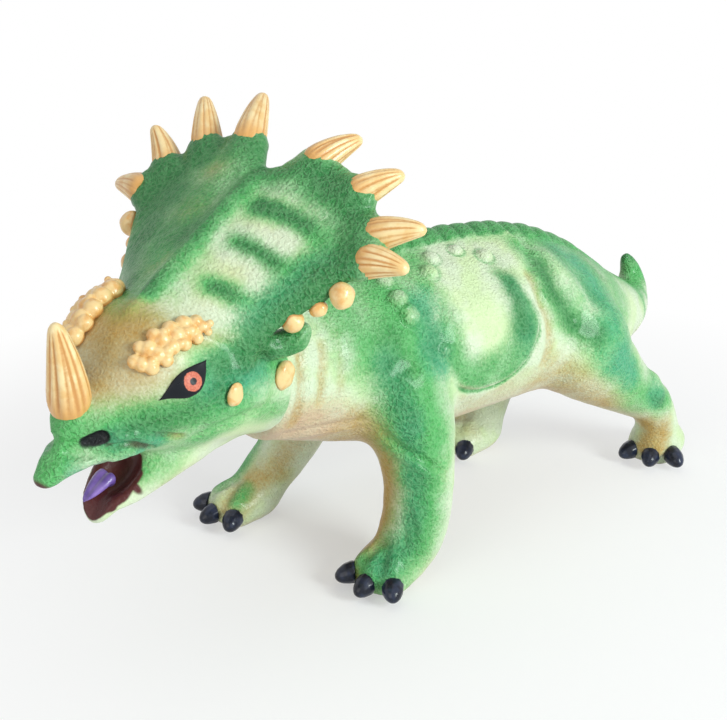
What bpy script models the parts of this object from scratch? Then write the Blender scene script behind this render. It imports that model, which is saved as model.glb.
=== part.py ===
"""A horned toy dinosaur with a wide neck frill, as moulded soft-vinyl castings.

The nose points along -Y, the animal's left side is +X and +Z is up.  The origin
is on the ground, under the middle of the figure.  The body, the head, the four
legs and the tail are hollow castings.  The head turns on a round neck plug.
Horns, spikes, nubs, claws and eyes are seated on the castings with a small gap.
"""

import math

import bmesh
import bpy
from mathutils import Matrix, Vector

# Body, neck and tail
TORSO_LENGTH = 0.280
TORSO_WIDTH = 0.100
TORSO_DEPTH = 0.100
BACK_HEIGHT = 0.157
BACK_RIDGE_WIDTH = 0.016
BACK_RIDGE_RISE = 0.0048
FLANK_OVAL_LENGTH = 0.059
FLANK_OVAL_HEIGHT = 0.055
FLANK_OVAL_RISE = 0.0023
FLANGE_PLACE = 0.134
NECK_HEIGHT = 0.122
NECK_SWING = 0.019
TAIL_LENGTH = 0.080
TAIL_RADIUS = 0.024

# Legs and feet
FRONT_LEG_RADIUS = 0.018
HIND_LEG_RADIUS = 0.018
STANCE_WIDTH = 0.100
FOOT_LENGTH = 0.046
FOOT_WIDTH = 0.036
FOOT_HEIGHT = 0.024
TOE_RADIUS = 0.0085

# Head and frill, measured from the neck flange
HEAD_LENGTH = 0.124
HEAD_WIDTH = 0.080
HEAD_DEPTH = 0.090
FRILL_WIDTH = 0.132
FRILL_LENGTH = 0.096
FRILL_RISE = 0.051
FRILL_THICKNESS = 0.0080
FRILL_RIDGE_RADIUS = 0.0046
HEAD_YAW = math.radians(18)
HEAD_ROLL = math.radians(-6)

# Trim
NOSE_HORN_LENGTH = 0.050
NOSE_HORN_RADIUS = 0.0100
SPIKE_LENGTH = 0.032
SPIKE_RADIUS = 0.0078
NUB_RADIUS = 0.0052
BOSS_LENGTH = 0.031
BOSS_WIDTH = 0.017
BOSS_BALL_RADIUS = 0.0042
EYE_RADIUS = 0.0090
TONGUE_LENGTH = 0.030
TONGUE_WIDTH = 0.014
TONGUE_HEIGHT = 0.007
MOUTH_LENGTH = 0.034
MOUTH_WIDTH = 0.021
MOUTH_DEPTH = 0.020
CLAW_LENGTH = 0.013
CLAW_RADIUS = 0.0055

# Shells, plugs and clearances
WALL = 0.0035
SEAT_GAP = 0.0003
SWIVEL_GAP = 0.0005
PLUG_RADIUS = 0.017
PLUG_LENGTH = 0.020
BEAD_RADIUS = 0.0195
BEAD_WIDTH = 0.006
LIP_THICKNESS = 0.006
STOPPER_RADIUS = 0.010
STOPPER_LIP_RADIUS = 0.0125
STOPPER_LIP_THICKNESS = 0.002
BODY_GRAIN = 0.0035
HEAD_GRAIN = 0.0028
BOSS_GRAIN = 0.0013
OVERRUN = 0.030

ROUND_SIDES = 24
LIMB_SIDES = 16
SPIKE_SIDES = 10
BODY_KEEP = 0.13
HEAD_KEEP = 0.13
BOSS_KEEP = 0.13
# How far a corner of a skin may face away from its own faces
LEAST_FACING = 0.60
SMOOTHING_SHARE = 0.5
RELAX_SHARE = 0.3
RELAX_PASSES = 2
BODY_PASSES = 6
HEAD_PASSES = 3
BOSS_PASSES = 1
UNFOLD_ROUNDS = 20
BALL_ROWS = 8
BALL_COLUMNS = 12
NUB_ROWS = 6
NUB_COLUMNS = 9

UP = Vector((0.0, 0.0, 1.0))

# Rings along the body: place, neck swing, height, half width, half depth
TORSO_RING_SHARES = [
    (-0.04, 1.06, 0.80, 0.335, 0.335),
    (0.02, 0.90, 0.775, 0.35, 0.35),
    (0.12, 0.45, 0.73, 0.385, 0.40),
    (0.23, 0.12, 0.695, 0.455, 0.455),
    (0.355, 0.0, 0.682, 0.50, 0.495),
    (0.48, 0.0, 0.682, 0.50, 0.50),
    (0.605, 0.0, 0.675, 0.50, 0.485),
    (0.73, 0.0, 0.65, 0.465, 0.445),
    (0.835, 0.0, 0.60, 0.41, 0.40),
    (0.925, 0.0, 0.558, 0.31, 0.31),
    (1.0, 0.0, 0.54, 0.20, 0.22),
]

# The ridge of scutes on the back: ring of the torso, share of the ridge's rise
BACK_RIDGE_SHARES = [(3, 0.5), (4, 1.0), (5, 1.0), (6, 1.0), (7, 0.85), (8, 0.65), (9, 0.3)]

# The raised ovals on the flanks: place along the body, height
FLANK_OVAL_PLACE_SHARES = (0.472, 0.712)

# Points of the tail from its root: side, back and up of its length, radius share
TAIL_SHARES = [
    (0.0, -0.12, 0.04, 0.98),
    (-0.04, 0.10, -0.01, 0.78),
    (-0.10, 0.27, -0.02, 0.60),
    (-0.16, 0.39, 0.04, 0.47),
    (-0.20, 0.44, 0.14, 0.36),
    (-0.21, 0.40, 0.26, 0.26),
    (-0.20, 0.31, 0.35, 0.17),
    (-0.19, 0.22, 0.38, 0.07),
]
TAIL_ROOT_SHARE = 1.0
TAIL_HEIGHT_SHARE = 0.53

# Points down each leg: side of the stance, place along the torso, height of the
# back, radius share.  The last row is the middle of the foot.
LEG_SHARES = {
    "front_left_leg": [
        (0.22, 0.280, 0.76, 0.90),
        (0.29, 0.295, 0.64, 1.60),
        (0.37, 0.302, 0.54, 1.45),
        (0.44, 0.305, 0.45, 1.15),
        (0.49, 0.302, 0.32, 1.00),
        (0.51, 0.290, 0.20, 0.98),
        (0.52, 0.262, 0.10, 0.92),
    ],
    "front_right_leg": [
        (-0.22, 0.290, 0.72, 0.90),
        (-0.29, 0.290, 0.62, 1.55),
        (-0.36, 0.288, 0.49, 1.35),
        (-0.42, 0.280, 0.38, 1.05),
        (-0.47, 0.250, 0.24, 0.88),
        (-0.52, 0.210, 0.14, 0.82),
        (-0.53, 0.185, 0.08, 0.80),
    ],
    "hind_left_leg": [
        (0.20, 0.720, 0.72, 1.00),
        (0.24, 0.745, 0.63, 1.70),
        (0.29, 0.780, 0.54, 1.75),
        (0.33, 0.822, 0.46, 1.38),
        (0.375, 0.900, 0.345, 0.95),
        (0.405, 0.975, 0.25, 0.74),
        (0.40, 1.015, 0.12, 0.70),
    ],
    "hind_right_leg": [
        (-0.20, 0.720, 0.70, 1.00),
        (-0.24, 0.735, 0.60, 1.70),
        (-0.30, 0.755, 0.49, 1.70),
        (-0.36, 0.770, 0.38, 1.35),
        (-0.41, 0.775, 0.24, 0.90),
        (-0.42, 0.770, 0.14, 0.75),
        (-0.42, 0.755, 0.08, 0.72),
    ],
}

# Seam plane of each leg: side, along, height, and the way it faces
LEG_SEAM_SHARES = {
    "front_left_leg": ((0.47, 0.307, 0.43), (0.60, 0.0, -0.80), 0.57),
    "front_right_leg": ((-0.43, 0.275, 0.37), (-0.45, -0.20, -0.87), 0.48),
    "hind_left_leg": ((0.385, 0.915, 0.345), (0.25, 0.55, -0.80), 0.30),
    "hind_right_leg": ((-0.40, 0.765, 0.306), (-0.30, 0.0, -0.95), 0.33),
}

# Feet: side, along, and the way the toes point, in degrees from -Y towards +X
FOOT_SHARES = {
    "front_left_leg": (0.50, 0.234, 15.0),
    "front_right_leg": (-0.53, 0.160, 0.0),
    "hind_left_leg": (0.38, 1.020, 30.0),
    "hind_right_leg": (-0.40, 0.722, 0.0),
}
TOE_TURNS = (-38.0, 0.0, 38.0)

# Rings of the skull from the flange: forward, height, half width, half depth
SKULL_RING_SHARES = [
    (-0.08, 0.06, 0.485, 0.38),
    (0.05, 0.08, 0.50, 0.38),
    (0.18, 0.14, 0.51, 0.37),
    (0.32, 0.20, 0.51, 0.40),
    (0.46, 0.22, 0.47, 0.385),
    (0.58, 0.25, 0.41, 0.35),
    (0.69, 0.22, 0.33, 0.28),
    (0.78, 0.12, 0.23, 0.19),
    (0.87, 0.10, 0.165, 0.145),
    (0.91, 0.05, 0.13, 0.12),
    (0.95, -0.02, 0.09, 0.085),
    (0.995, -0.07, 0.05, 0.04),
]
# Rings of the lower jaw: forward of the head, height, half width, half depth
JAW_RING_SHARES = [
    (0.0, -0.12, 0.30, 0.16),
    (0.15, -0.11, 0.29, 0.15),
    (0.32, -0.12, 0.28, 0.15),
    (0.50, -0.185, 0.25, 0.125),
    (0.64, -0.265, 0.19, 0.09),
    (0.72, -0.305, 0.13, 0.065),
    (0.78, -0.325, 0.07, 0.04),
]
# Frill: root and rim, each as back of its length, side of its width, up of its rise
FRILL_ROOT_SHARES = [
    (0.0, 0.0, 0.0),
    (0.02, 0.038, -0.02),
    (0.0625, 0.083, -0.04),
    (0.104, 0.136, -0.08),
    (0.146, 0.182, -0.137),
    (0.1875, 0.212, -0.196),
    (0.229, 0.242, -0.275),
    (0.26, 0.265, -0.353),
    (0.29, 0.28, -0.43),
    (0.3125, 0.288, -0.51),
]
FRILL_RIM_SHARES = [
    (0.854, 0.0, 0.843),
    (0.958, 0.076, 0.98),
    (1.0, 0.152, 1.08),
    (0.99, 0.326, 0.93),
    (0.896, 0.450, 0.68),
    (0.775, 0.490, 0.52),
    (0.62, 0.455, 0.16),
    (0.5625, 0.40, 0.04),
    (0.479, 0.348, -0.06),
    (0.390, 0.285, -0.15),
]
# The ridge down the middle of the frill: place from root to rim, share of its radius
FRILL_RIDGE_SHARES = [(-0.02, 0.35), (0.15, 0.75), (0.45, 1.0), (0.75, 1.0), (0.93, 0.75)]
# The right lobe of the frill is a little narrower than the left one
RIGHT_LOBE_SHARE = 0.94
BROW_PLACE_SHARE = 0.58
CROWN_HEIGHT_SHARE = 0.57
FRILL_STEPS = 6

# Spikes round the rim: rim row, then size and way of the left and of the right one
SPIKE_SHARES = [
    (2, 0.86, (-0.86, 0.32, 0.33), 1.05, (-0.84, 0.28, 0.47)),
    (3, 0.80, (-0.64, 0.66, 0.34), 1.00, (-0.62, 0.58, 0.53)),
    (4, 0.86, (-0.30, 0.91, 0.22), 0.84, (-0.35, 0.72, 0.62)),
    (5, 0.76, (-0.15, 0.96, 0.12), 0.85, (-0.33, 0.94, -0.12)),
]
SPIKE_BEND = 0.10
# Along a spike or a claw: share of its length, share of its radius
SPIKE_TAPER_SHARES = [(0.0, 1.0), (0.22, 0.97), (0.42, 0.84), (0.62, 0.66), (0.82, 0.42), (1.0, 0.10)]
CLAW_TAPER_SHARES = [(0.0, 1.0), (0.30, 1.04), (0.55, 0.96), (0.80, 0.72), (0.94, 0.44), (1.0, 0.14)]
CLAW_BEND = -0.22
CLAW_SEAT_SHARE = 0.55
# Nubs on the frill's lower rim: rim row, size
RIM_NUB_SHARES = [(6, 1.30), (7, 0.80), (8, 1.0), (9, 0.85)]
# Nubs on the cheek: forward, degrees up the skull, size
CHEEK_NUB_SHARES = [(0.17, 12.0, 1.3), (0.42, 3.0, 0.9)]
CHEEK_NUB_SHAPE = (0.8, 1.0, 1.1)
CHEEK_NUB_SINK_SHARE = 0.2

# Nose horn, tongue, eyes and brow bosses, as shares of the head
NOSE_HORN_PLACE_SHARES = (0.82, 0.14)
NOSE_HORN_WAY = (0.30, 0.0, 0.95)
NOSE_HORN_BEND = 0.05
TONGUE_PLACE_SHARES = (0.67, -0.245)
MOUTH_PLACE_SHARES = (0.675, -0.18)
MOUTH_TILT = math.radians(16)
EYE_PLACE_SHARE = 0.565
EYE_PLACE_DEGREES = 16.0
EYE_SINK_SHARE = 0.70
EYE_SHAPE = (1.0, 1.20, 0.80)
EYE_TILT = math.radians(24)
BOSS_PLACE_SHARE = 0.585
BOSS_PLACE_DEGREES = 52.0
# Balls of a boss: row across the brow, number of balls in it
BOSS_ROWS = ((-1, 4), (0, 5), (1, 4))

# Shapes of the feet, the cuts and the hollows
FOOT_LIFT_SHARE = 0.42
TOE_LIFT_SHARE = 0.9
KNUCKLE_SHARE = 1.15
TAIL_CUT_SHARE = 1.7
HEAD_CUT_SHARE = 0.60
HEAD_HOLLOW_SHARES = (0.02, 0.14, 0.28, 0.40)
STOPPER_RING = 5
HOLLOW_START_RING = 3

# Colour and roughness of each kind of piece, found by the start of its name
PAINTS = {
    "torso_stuffing": ((0.80, 0.78, 0.72), 0.95),
    "head_stuffing": ((0.80, 0.78, 0.72), 0.95),
    "belly_stopper": ((0.62, 0.60, 0.50), 0.60),
    "torso": ((0.36, 0.42, 0.27), 0.42),
    "head": ((0.20, 0.27, 0.14), 0.42),
    "front_left_leg": ((0.30, 0.34, 0.20), 0.42),
    "front_right_leg": ((0.50, 0.50, 0.32), 0.42),
    "hind_left_leg": ((0.44, 0.46, 0.30), 0.42),
    "hind_right_leg": ((0.52, 0.52, 0.36), 0.42),
    "tail": ((0.16, 0.22, 0.12), 0.42),
    "frill_spike": ((0.52, 0.35, 0.09), 0.50),
    "frill_nub": ((0.50, 0.42, 0.16), 0.50),
    "cheek_nub": ((0.46, 0.42, 0.20), 0.50),
    "brow_boss": ((0.30, 0.34, 0.15), 0.45),
    "nose_horn": ((0.50, 0.33, 0.10), 0.50),
    "tongue": ((0.14, 0.03, 0.06), 0.25),
    "eye": ((0.010, 0.008, 0.010), 0.12),
    "front": ((0.012, 0.016, 0.030), 0.20),
    "hind": ((0.012, 0.016, 0.030), 0.20),
}
HEAD_PIECES = ("head", "frill_", "cheek_", "brow_", "eye_", "nose_", "tongue")
SMOOTH_ANGLE = math.radians(42)


def clear_scene():
    for thing in list(bpy.data.objects):
        bpy.data.objects.remove(thing, do_unlink=True)


def new_object(name, mesh):
    thing = bpy.data.objects.new(name, mesh)
    bpy.context.scene.collection.objects.link(thing)
    return thing


def mesh_from(bm, name):
    bmesh.ops.recalc_face_normals(bm, faces=bm.faces)
    mesh = bpy.data.meshes.new(name)
    bm.to_mesh(mesh)
    bm.free()
    return mesh


def loft(rings, sides):
    """A closed tube through rings of (centre, side vector, up vector)."""
    bm = bmesh.new()
    previous = None
    for centre, side, up in rings:
        normal = side.cross(up).normalized()
        place = Matrix((
            (side.x, up.x, normal.x, centre.x),
            (side.y, up.y, normal.y, centre.y),
            (side.z, up.z, normal.z, centre.z),
            (0.0, 0.0, 0.0, 1.0),
        ))
        made = bmesh.ops.create_circle(bm, segments=sides, radius=1, matrix=place)
        ring = made["verts"]
        if previous:
            for index in range(sides):
                after = (index + 1) % sides
                bm.faces.new((previous[index], previous[after], ring[after], ring[index]))
        previous = ring
    open_edges = [edge for edge in bm.edges if edge.is_boundary]
    bmesh.ops.holes_fill(bm, edges=open_edges, sides=0)
    return bm


def limb_rings(points, radii):
    """Round rings square to a path of points."""
    rings = []
    side = (points[-1] - points[0]).orthogonal()
    for index, point in enumerate(points):
        before = points[max(index - 1, 0)]
        after = points[min(index + 1, len(points) - 1)]
        ahead = (after - before).normalized()
        side = (side - ahead * side.dot(ahead)).normalized()
        up = ahead.cross(side)
        rings.append((point, side * radii[index], up * radii[index]))
    return rings


def ball(bm, centre, axes, turn=None, rows=BALL_ROWS, columns=BALL_COLUMNS):
    """A ball stretched by three half axes."""
    place = Matrix.Translation(centre) @ (turn or Matrix.Identity(4))
    place = place @ Matrix.Diagonal((*axes, 1.0))
    bmesh.ops.create_uvsphere(bm, u_segments=columns, v_segments=rows, radius=1, matrix=place)


def add_to(bm, other):
    mesh = mesh_from(other, "part_of_form")
    bm.from_mesh(mesh)
    bpy.data.meshes.remove(mesh)


def evaluated(thing, name):
    graph = bpy.context.evaluated_depsgraph_get()
    mesh = bpy.data.meshes.new_from_object(thing.evaluated_get(graph))
    mesh.name = name
    bpy.data.objects.remove(thing, do_unlink=True)
    return mesh


def unfold(mesh):
    """Even out the few places where fewer faces left a fold in the skin."""
    bm = bmesh.new()
    bm.from_mesh(mesh)
    for _ in range(UNFOLD_ROUNDS):
        bm.normal_update()
        folded = [
            vert for vert in bm.verts
            if min(vert.normal.dot(face.normal) for face in vert.link_faces) < LEAST_FACING
        ]
        if not folded:
            break
        around = {other for vert in folded for edge in vert.link_edges for other in edge.verts}
        bmesh.ops.smooth_vert(
            bm, verts=sorted(around, key=lambda vert: vert.index), factor=SMOOTHING_SHARE,
            use_axis_x=True, use_axis_y=True, use_axis_z=True,
        )
    bm.to_mesh(mesh)
    bm.free()
    return mesh


def fused(bm, name, grain, keep, passes):
    """Overlapping closed shapes as one smooth skin."""
    thing = new_object(name, mesh_from(bm, name))
    skin = thing.modifiers.new("one_skin", "REMESH")
    skin.mode = "VOXEL"
    skin.voxel_size = grain
    even = thing.modifiers.new("even_out", "SMOOTH")
    even.factor = SMOOTHING_SHARE
    even.iterations = passes
    fewer = thing.modifiers.new("fewer_faces", "DECIMATE")
    fewer.ratio = keep
    fewer.use_collapse_triangulate = True
    relax = thing.modifiers.new("relax", "SMOOTH")
    relax.factor = RELAX_SHARE
    relax.iterations = RELAX_PASSES
    return unfold(evaluated(thing, name))


def along_torso(share):
    return -FLANGE_PLACE + share * TORSO_LENGTH


def torso_rings(inset):
    rings = []
    for place, swing, height, half_width, half_depth in TORSO_RING_SHARES:
        centre = Vector((swing * NECK_SWING, along_torso(place), height * BACK_HEIGHT))
        side = Vector((half_width * TORSO_WIDTH - inset, 0.0, 0.0))
        rings.append((centre, side, UP * (half_depth * TORSO_DEPTH - inset)))
    return rings


def tail_points():
    root = Vector((0.0, along_torso(TAIL_ROOT_SHARE), TAIL_HEIGHT_SHARE * BACK_HEIGHT))
    points = [root + Vector(row[:3]) * TAIL_LENGTH for row in TAIL_SHARES]
    radii = [row[3] * TAIL_RADIUS for row in TAIL_SHARES]
    return points, radii


def stance_point(side, along, height):
    return Vector((side * STANCE_WIDTH, along_torso(along), height * BACK_HEIGHT))


def leg_points(name):
    radius = FRONT_LEG_RADIUS if name.startswith("front") else HIND_LEG_RADIUS
    points = [stance_point(*row[:3]) for row in LEG_SHARES[name]]
    radii = [row[3] * radius for row in LEG_SHARES[name]]
    return points, radii


def foot_frame(name):
    """The middle of a foot on the ground, its forward way and its turn."""
    side, along, degrees = FOOT_SHARES[name]
    turn = Matrix.Rotation(math.radians(degrees), 4, "Z")
    return stance_point(side, along, 0.0), turn


def toe_tips(name):
    middle, turn = foot_frame(name)
    tips = []
    for degrees in TOE_TURNS:
        spread = Matrix.Rotation(math.radians(degrees), 4, "Z")
        way = (turn @ spread @ Vector((0.0, -1.0, 0.0))).normalized()
        tips.append((middle + way * (FOOT_LENGTH / 2), way))
    return tips


def back_ridge():
    """The raised band of scutes along the spine."""
    rings = []
    for index, rise in BACK_RIDGE_SHARES:
        place, swing, height, half_width, half_depth = TORSO_RING_SHARES[index]
        spine = height * BACK_HEIGHT + half_depth * TORSO_DEPTH
        centre = Vector((swing * NECK_SWING, along_torso(place), spine))
        side = Vector((BACK_RIDGE_WIDTH / 2, 0.0, 0.0))
        rings.append((centre, side, UP * BACK_RIDGE_RISE * rise))
    return loft(rings, SPIKE_SIDES)


def flank_ovals():
    """The raised ovals on both flanks: an oval bar cut out of a thicker torso."""
    place, height = FLANK_OVAL_PLACE_SHARES
    middle = Vector((0.0, along_torso(place), height * BACK_HEIGHT))
    along = Vector((0.0, FLANK_OVAL_LENGTH / 2, 0.0))
    across = Vector((TORSO_WIDTH, 0.0, 0.0))
    rings = [(end, along, UP * FLANK_OVAL_HEIGHT / 2) for end in (middle - across, middle + across)]
    bar = mesh_from(loft(rings, ROUND_SIDES), "oval_bar")
    thicker = mesh_from(loft(torso_rings(-FLANK_OVAL_RISE), ROUND_SIDES), "thicker_torso")
    return combined(thicker, bar, "INTERSECT")


def body_form():
    bm = loft(torso_rings(0.0), ROUND_SIDES)
    add_to(bm, back_ridge())
    ovals = flank_ovals()
    bm.from_mesh(ovals)
    bpy.data.meshes.remove(ovals)
    points, radii = tail_points()
    add_to(bm, loft(limb_rings(points, radii), LIMB_SIDES))
    for name in LEG_SHARES:
        points, radii = leg_points(name)
        add_to(bm, loft(limb_rings(points, radii), LIMB_SIDES))
        middle, turn = foot_frame(name)
        half = Vector((FOOT_WIDTH / 2, FOOT_LENGTH / 2, FOOT_HEIGHT / 2))
        ball(bm, middle + UP * FOOT_HEIGHT * FOOT_LIFT_SHARE, half, turn)
        for tip, way in toe_tips(name):
            toe = tip - way * TOE_RADIUS + UP * TOE_RADIUS * TOE_LIFT_SHARE
            inner = toe - way * TOE_RADIUS
            ball(bm, toe, (TOE_RADIUS,) * 3)
            ball(bm, inner, (TOE_RADIUS * KNUCKLE_SHARE,) * 3)
    mesh = fused(bm, "body_form", BODY_GRAIN, BODY_KEEP, BODY_PASSES)
    bm = bmesh.new()
    bm.from_mesh(mesh)
    whole = bm.verts[:] + bm.edges[:] + bm.faces[:]
    bmesh.ops.bisect_plane(bm, geom=whole, plane_co=(0, 0, 0), plane_no=(0, 0, -1), clear_outer=True)
    bmesh.ops.holes_fill(bm, edges=[e for e in bm.edges if e.is_boundary], sides=0)
    bmesh.ops.triangulate(bm, faces=bm.faces)
    bm.to_mesh(mesh)
    bm.free()
    return mesh


def head_frame():
    """The head's own axes at the neck flange: nose along -Y, left along +X."""
    place = Matrix.Translation((NECK_SWING, -FLANGE_PLACE, NECK_HEIGHT))
    yaw = Matrix.Rotation(HEAD_YAW, 4, "Z")
    roll = Matrix.Rotation(-HEAD_ROLL, 4, "Y")
    return place @ yaw @ roll


def head_point(forward, side, height):
    return Vector((side, -forward, height))


def head_rings(shares):
    rings = []
    for forward, height, half_width, half_depth in shares:
        centre = head_point(forward * HEAD_LENGTH, 0.0, height * HEAD_DEPTH)
        side = Vector((half_width * HEAD_WIDTH, 0.0, 0.0))
        rings.append((centre, side, UP * half_depth * HEAD_DEPTH))
    return rings


def frill_point(shares, sign):
    back, side, up = shares
    forward = BROW_PLACE_SHARE * HEAD_LENGTH - back * FRILL_LENGTH
    height = CROWN_HEIGHT_SHARE * HEAD_DEPTH + up * FRILL_RISE
    lobe = 1.0 if sign > 0 else RIGHT_LOBE_SHARE
    return head_point(forward, sign * lobe * side * FRILL_WIDTH, height)


def frill_plate():
    """The curved shield behind the brows, as a closed plate of even thickness."""
    order = [(-1, i) for i in range(len(FRILL_RIM_SHARES) - 1, 0, -1)]
    order += [(1, i) for i in range(len(FRILL_RIM_SHARES))]
    roots = [frill_point(FRILL_ROOT_SHARES[index], sign) for sign, index in order]
    rims = [frill_point(FRILL_RIM_SHARES[index], sign) for sign, index in order]
    middles = [root.lerp(rim, 0.5) for root, rim in zip(roots, rims)]
    bm = bmesh.new()
    front, behind = [], []
    for index, (root, rim) in enumerate(zip(roots, rims)):
        across = middles[min(index + 1, len(order) - 1)] - middles[max(index - 1, 0)]
        normal = across.cross(rim - root).normalized()
        path = [root.lerp(rim, step / FRILL_STEPS) for step in range(FRILL_STEPS + 1)]
        front.append([bm.verts.new(point) for point in path])
        behind.append([bm.verts.new(point - normal * FRILL_THICKNESS) for point in path])
    last = len(order) - 1
    for index in range(last):
        for step in range(FRILL_STEPS):
            for sheet in (front, behind):
                corners = sheet[index][step], sheet[index][step + 1]
                corners += sheet[index + 1][step + 1], sheet[index + 1][step]
                bm.faces.new(corners)
        for step in (0, FRILL_STEPS):
            corners = front[index][step], front[index + 1][step]
            corners += behind[index + 1][step], behind[index][step]
            bm.faces.new(corners)
    for index in (0, last):
        for step in range(FRILL_STEPS):
            corners = front[index][step], front[index][step + 1]
            corners += behind[index][step + 1], behind[index][step]
            bm.faces.new(corners)
    return bm


def frill_ridge():
    """The rounded ridge between the frill's two lobes."""
    root, rim = frill_point(FRILL_ROOT_SHARES[0], 1), frill_point(FRILL_RIM_SHARES[0], 1)
    points = [root.lerp(rim, share) for share, wide in FRILL_RIDGE_SHARES]
    radii = [wide * FRILL_RIDGE_RADIUS for share, wide in FRILL_RIDGE_SHARES]
    return loft(limb_rings(points, radii), SPIKE_SIDES)


def skull_ring_at(forward):
    """Height, half width and half depth of the skull at a share of its length."""
    for low, high in zip(SKULL_RING_SHARES, SKULL_RING_SHARES[1:]):
        if forward <= high[0]:
            part = (forward - low[0]) / (high[0] - low[0])
            return [a + (b - a) * part for a, b in zip(low[1:], high[1:])]
    return SKULL_RING_SHARES[-1][1:]


def skull_skin(forward, degrees, sign, depth=0.0):
    """A point on the skull: 0 degrees is its side, 90 its crown."""
    height, half_width, half_depth = skull_ring_at(forward)
    angle = math.radians(degrees)
    side = (half_width * HEAD_WIDTH - depth) * math.cos(angle)
    up = height * HEAD_DEPTH + (half_depth * HEAD_DEPTH - depth) * math.sin(angle)
    return head_point(forward * HEAD_LENGTH, sign * side, up)


def in_head(bm):
    bm.transform(head_frame())
    return bm


def mouth_scoop():
    """The hollow of the open mouth, above the lower jaw."""
    forward, up = MOUTH_PLACE_SHARES
    half = Vector((MOUTH_WIDTH / 2, MOUTH_LENGTH / 2, MOUTH_DEPTH / 2))
    bm = bmesh.new()
    centre = head_point(forward * HEAD_LENGTH, 0.0, up * HEAD_DEPTH)
    ball(bm, centre, half, Matrix.Rotation(MOUTH_TILT, 4, "X"), rows=10, columns=16)
    return in_head(bm)


def head_form():
    bm = loft(head_rings(SKULL_RING_SHARES), ROUND_SIDES)
    add_to(bm, loft(head_rings(JAW_RING_SHARES), ROUND_SIDES))
    add_to(bm, frill_plate())
    add_to(bm, frill_ridge())
    mesh = fused(in_head(bm), "head_form", HEAD_GRAIN, HEAD_KEEP, HEAD_PASSES)
    return largest_body(cut(mesh, mouth_scoop()))


def cylinder(start, end, radius, sides=ROUND_SIDES):
    """A closed round bar between two points."""
    way = end - start
    turn = way.to_track_quat("Z", "Y").to_matrix().to_4x4()
    place = Matrix.Translation((start + end) / 2) @ turn
    bm = bmesh.new()
    bmesh.ops.create_cone(
        bm, cap_ends=True, segments=sides, radius1=radius, radius2=radius,
        depth=way.length, matrix=place,
    )
    return bm


def largest_body(mesh):
    """Drop any crumb that a cut leaves beside the main body."""
    bm = bmesh.new()
    bm.from_mesh(mesh)
    left = set(bm.verts)
    bodies = []
    while left:
        stack = [left.pop()]
        body = set(stack)
        while stack:
            for edge in stack.pop().link_edges:
                for vert in edge.verts:
                    if vert in left:
                        left.discard(vert)
                        body.add(vert)
                        stack.append(vert)
        bodies.append(body)
    bodies.sort(key=len)
    crumbs = [vert for body in bodies[:-1] for vert in body]
    bmesh.ops.delete(bm, geom=crumbs, context="VERTS")
    bmesh.ops.triangulate(bm, faces=bm.faces)
    bm.to_mesh(mesh)
    bm.free()
    return mesh


def combined(mesh, tool, operation):
    """One exact Boolean between two closed meshes."""
    thing = new_object("worked", mesh)
    helper = new_object("tool", tool)
    joint = thing.modifiers.new("cut", "BOOLEAN")
    joint.operation = operation
    joint.solver = "EXACT"
    joint.object = helper
    made = evaluated(thing, mesh.name)
    bpy.data.objects.remove(helper, do_unlink=True)
    return made


def cut(mesh, *tools):
    for tool in tools:
        mesh = combined(mesh, mesh_from(tool, "cutter"), "DIFFERENCE")
    return mesh


def grown(mesh, gap):
    """The same closed shape, a hair larger all round."""
    bigger = mesh.copy()
    bm = bmesh.new()
    bm.from_mesh(bigger)
    bm.normal_update()
    moves = []
    for vert in bm.verts:
        flattest = min(vert.normal.dot(face.normal) for face in vert.link_faces)
        moves.append(vert.normal * gap / max(flattest, LEAST_FACING))
    for vert, move in zip(bm.verts, moves):
        vert.co += move
    bm.to_mesh(bigger)
    bm.free()
    return bigger


def seated(mesh, casting):
    """A piece cut to the shape of the casting it sits on."""
    return largest_body(combined(mesh, grown(casting, SEAT_GAP), "DIFFERENCE"))


def leg_cutter(name, gap):
    """Everything past a leg's flange plane, out to its reach."""
    place, facing, reach = LEG_SEAM_SHARES[name]
    way = Vector(facing).normalized()
    start = stance_point(*place) + way * gap
    return cylinder(start, start + way * BACK_HEIGHT, reach * BACK_HEIGHT, 2 * ROUND_SIDES)


def tail_cutter(gap):
    points, radii = tail_points()
    way = (points[2] - points[0]).normalized()
    start = points[1] + way * gap
    return cylinder(start, start + way * TAIL_LENGTH * 2, TAIL_RADIUS * TAIL_CUT_SHARE)


def leg_bore(name):
    """The hollow of a leg, from the body's hollow to the ankle."""
    points, radii = leg_points(name)
    bore = [min(radius, radii[-3]) - WALL for radius in radii]
    return loft(limb_rings(points[1:-1], bore[1:-1]), LIMB_SIDES)


def stepped_in(rings, gap):
    """The same rings, with both ends standing back by a gap."""
    for end, beside in ((0, 1), (-1, -2)):
        centre, side, up = rings[end]
        way = (rings[beside][0] - centre).normalized()
        rings[end] = (centre + way * gap, side, up)
    return rings


def torso_hollow(inset):
    return loft(stepped_in(torso_rings(inset)[2:-1], inset - WALL), LIMB_SIDES)


def flange_point(forward):
    return Vector((NECK_SWING, -FLANGE_PLACE - forward, NECK_HEIGHT))


def stopper_place():
    """Middle of the belly, at its skin."""
    place, swing, height, half_width, half_depth = TORSO_RING_SHARES[STOPPER_RING]
    belly = height * BACK_HEIGHT - half_depth * TORSO_DEPTH
    return Vector((0.0, along_torso(place), belly))


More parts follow.
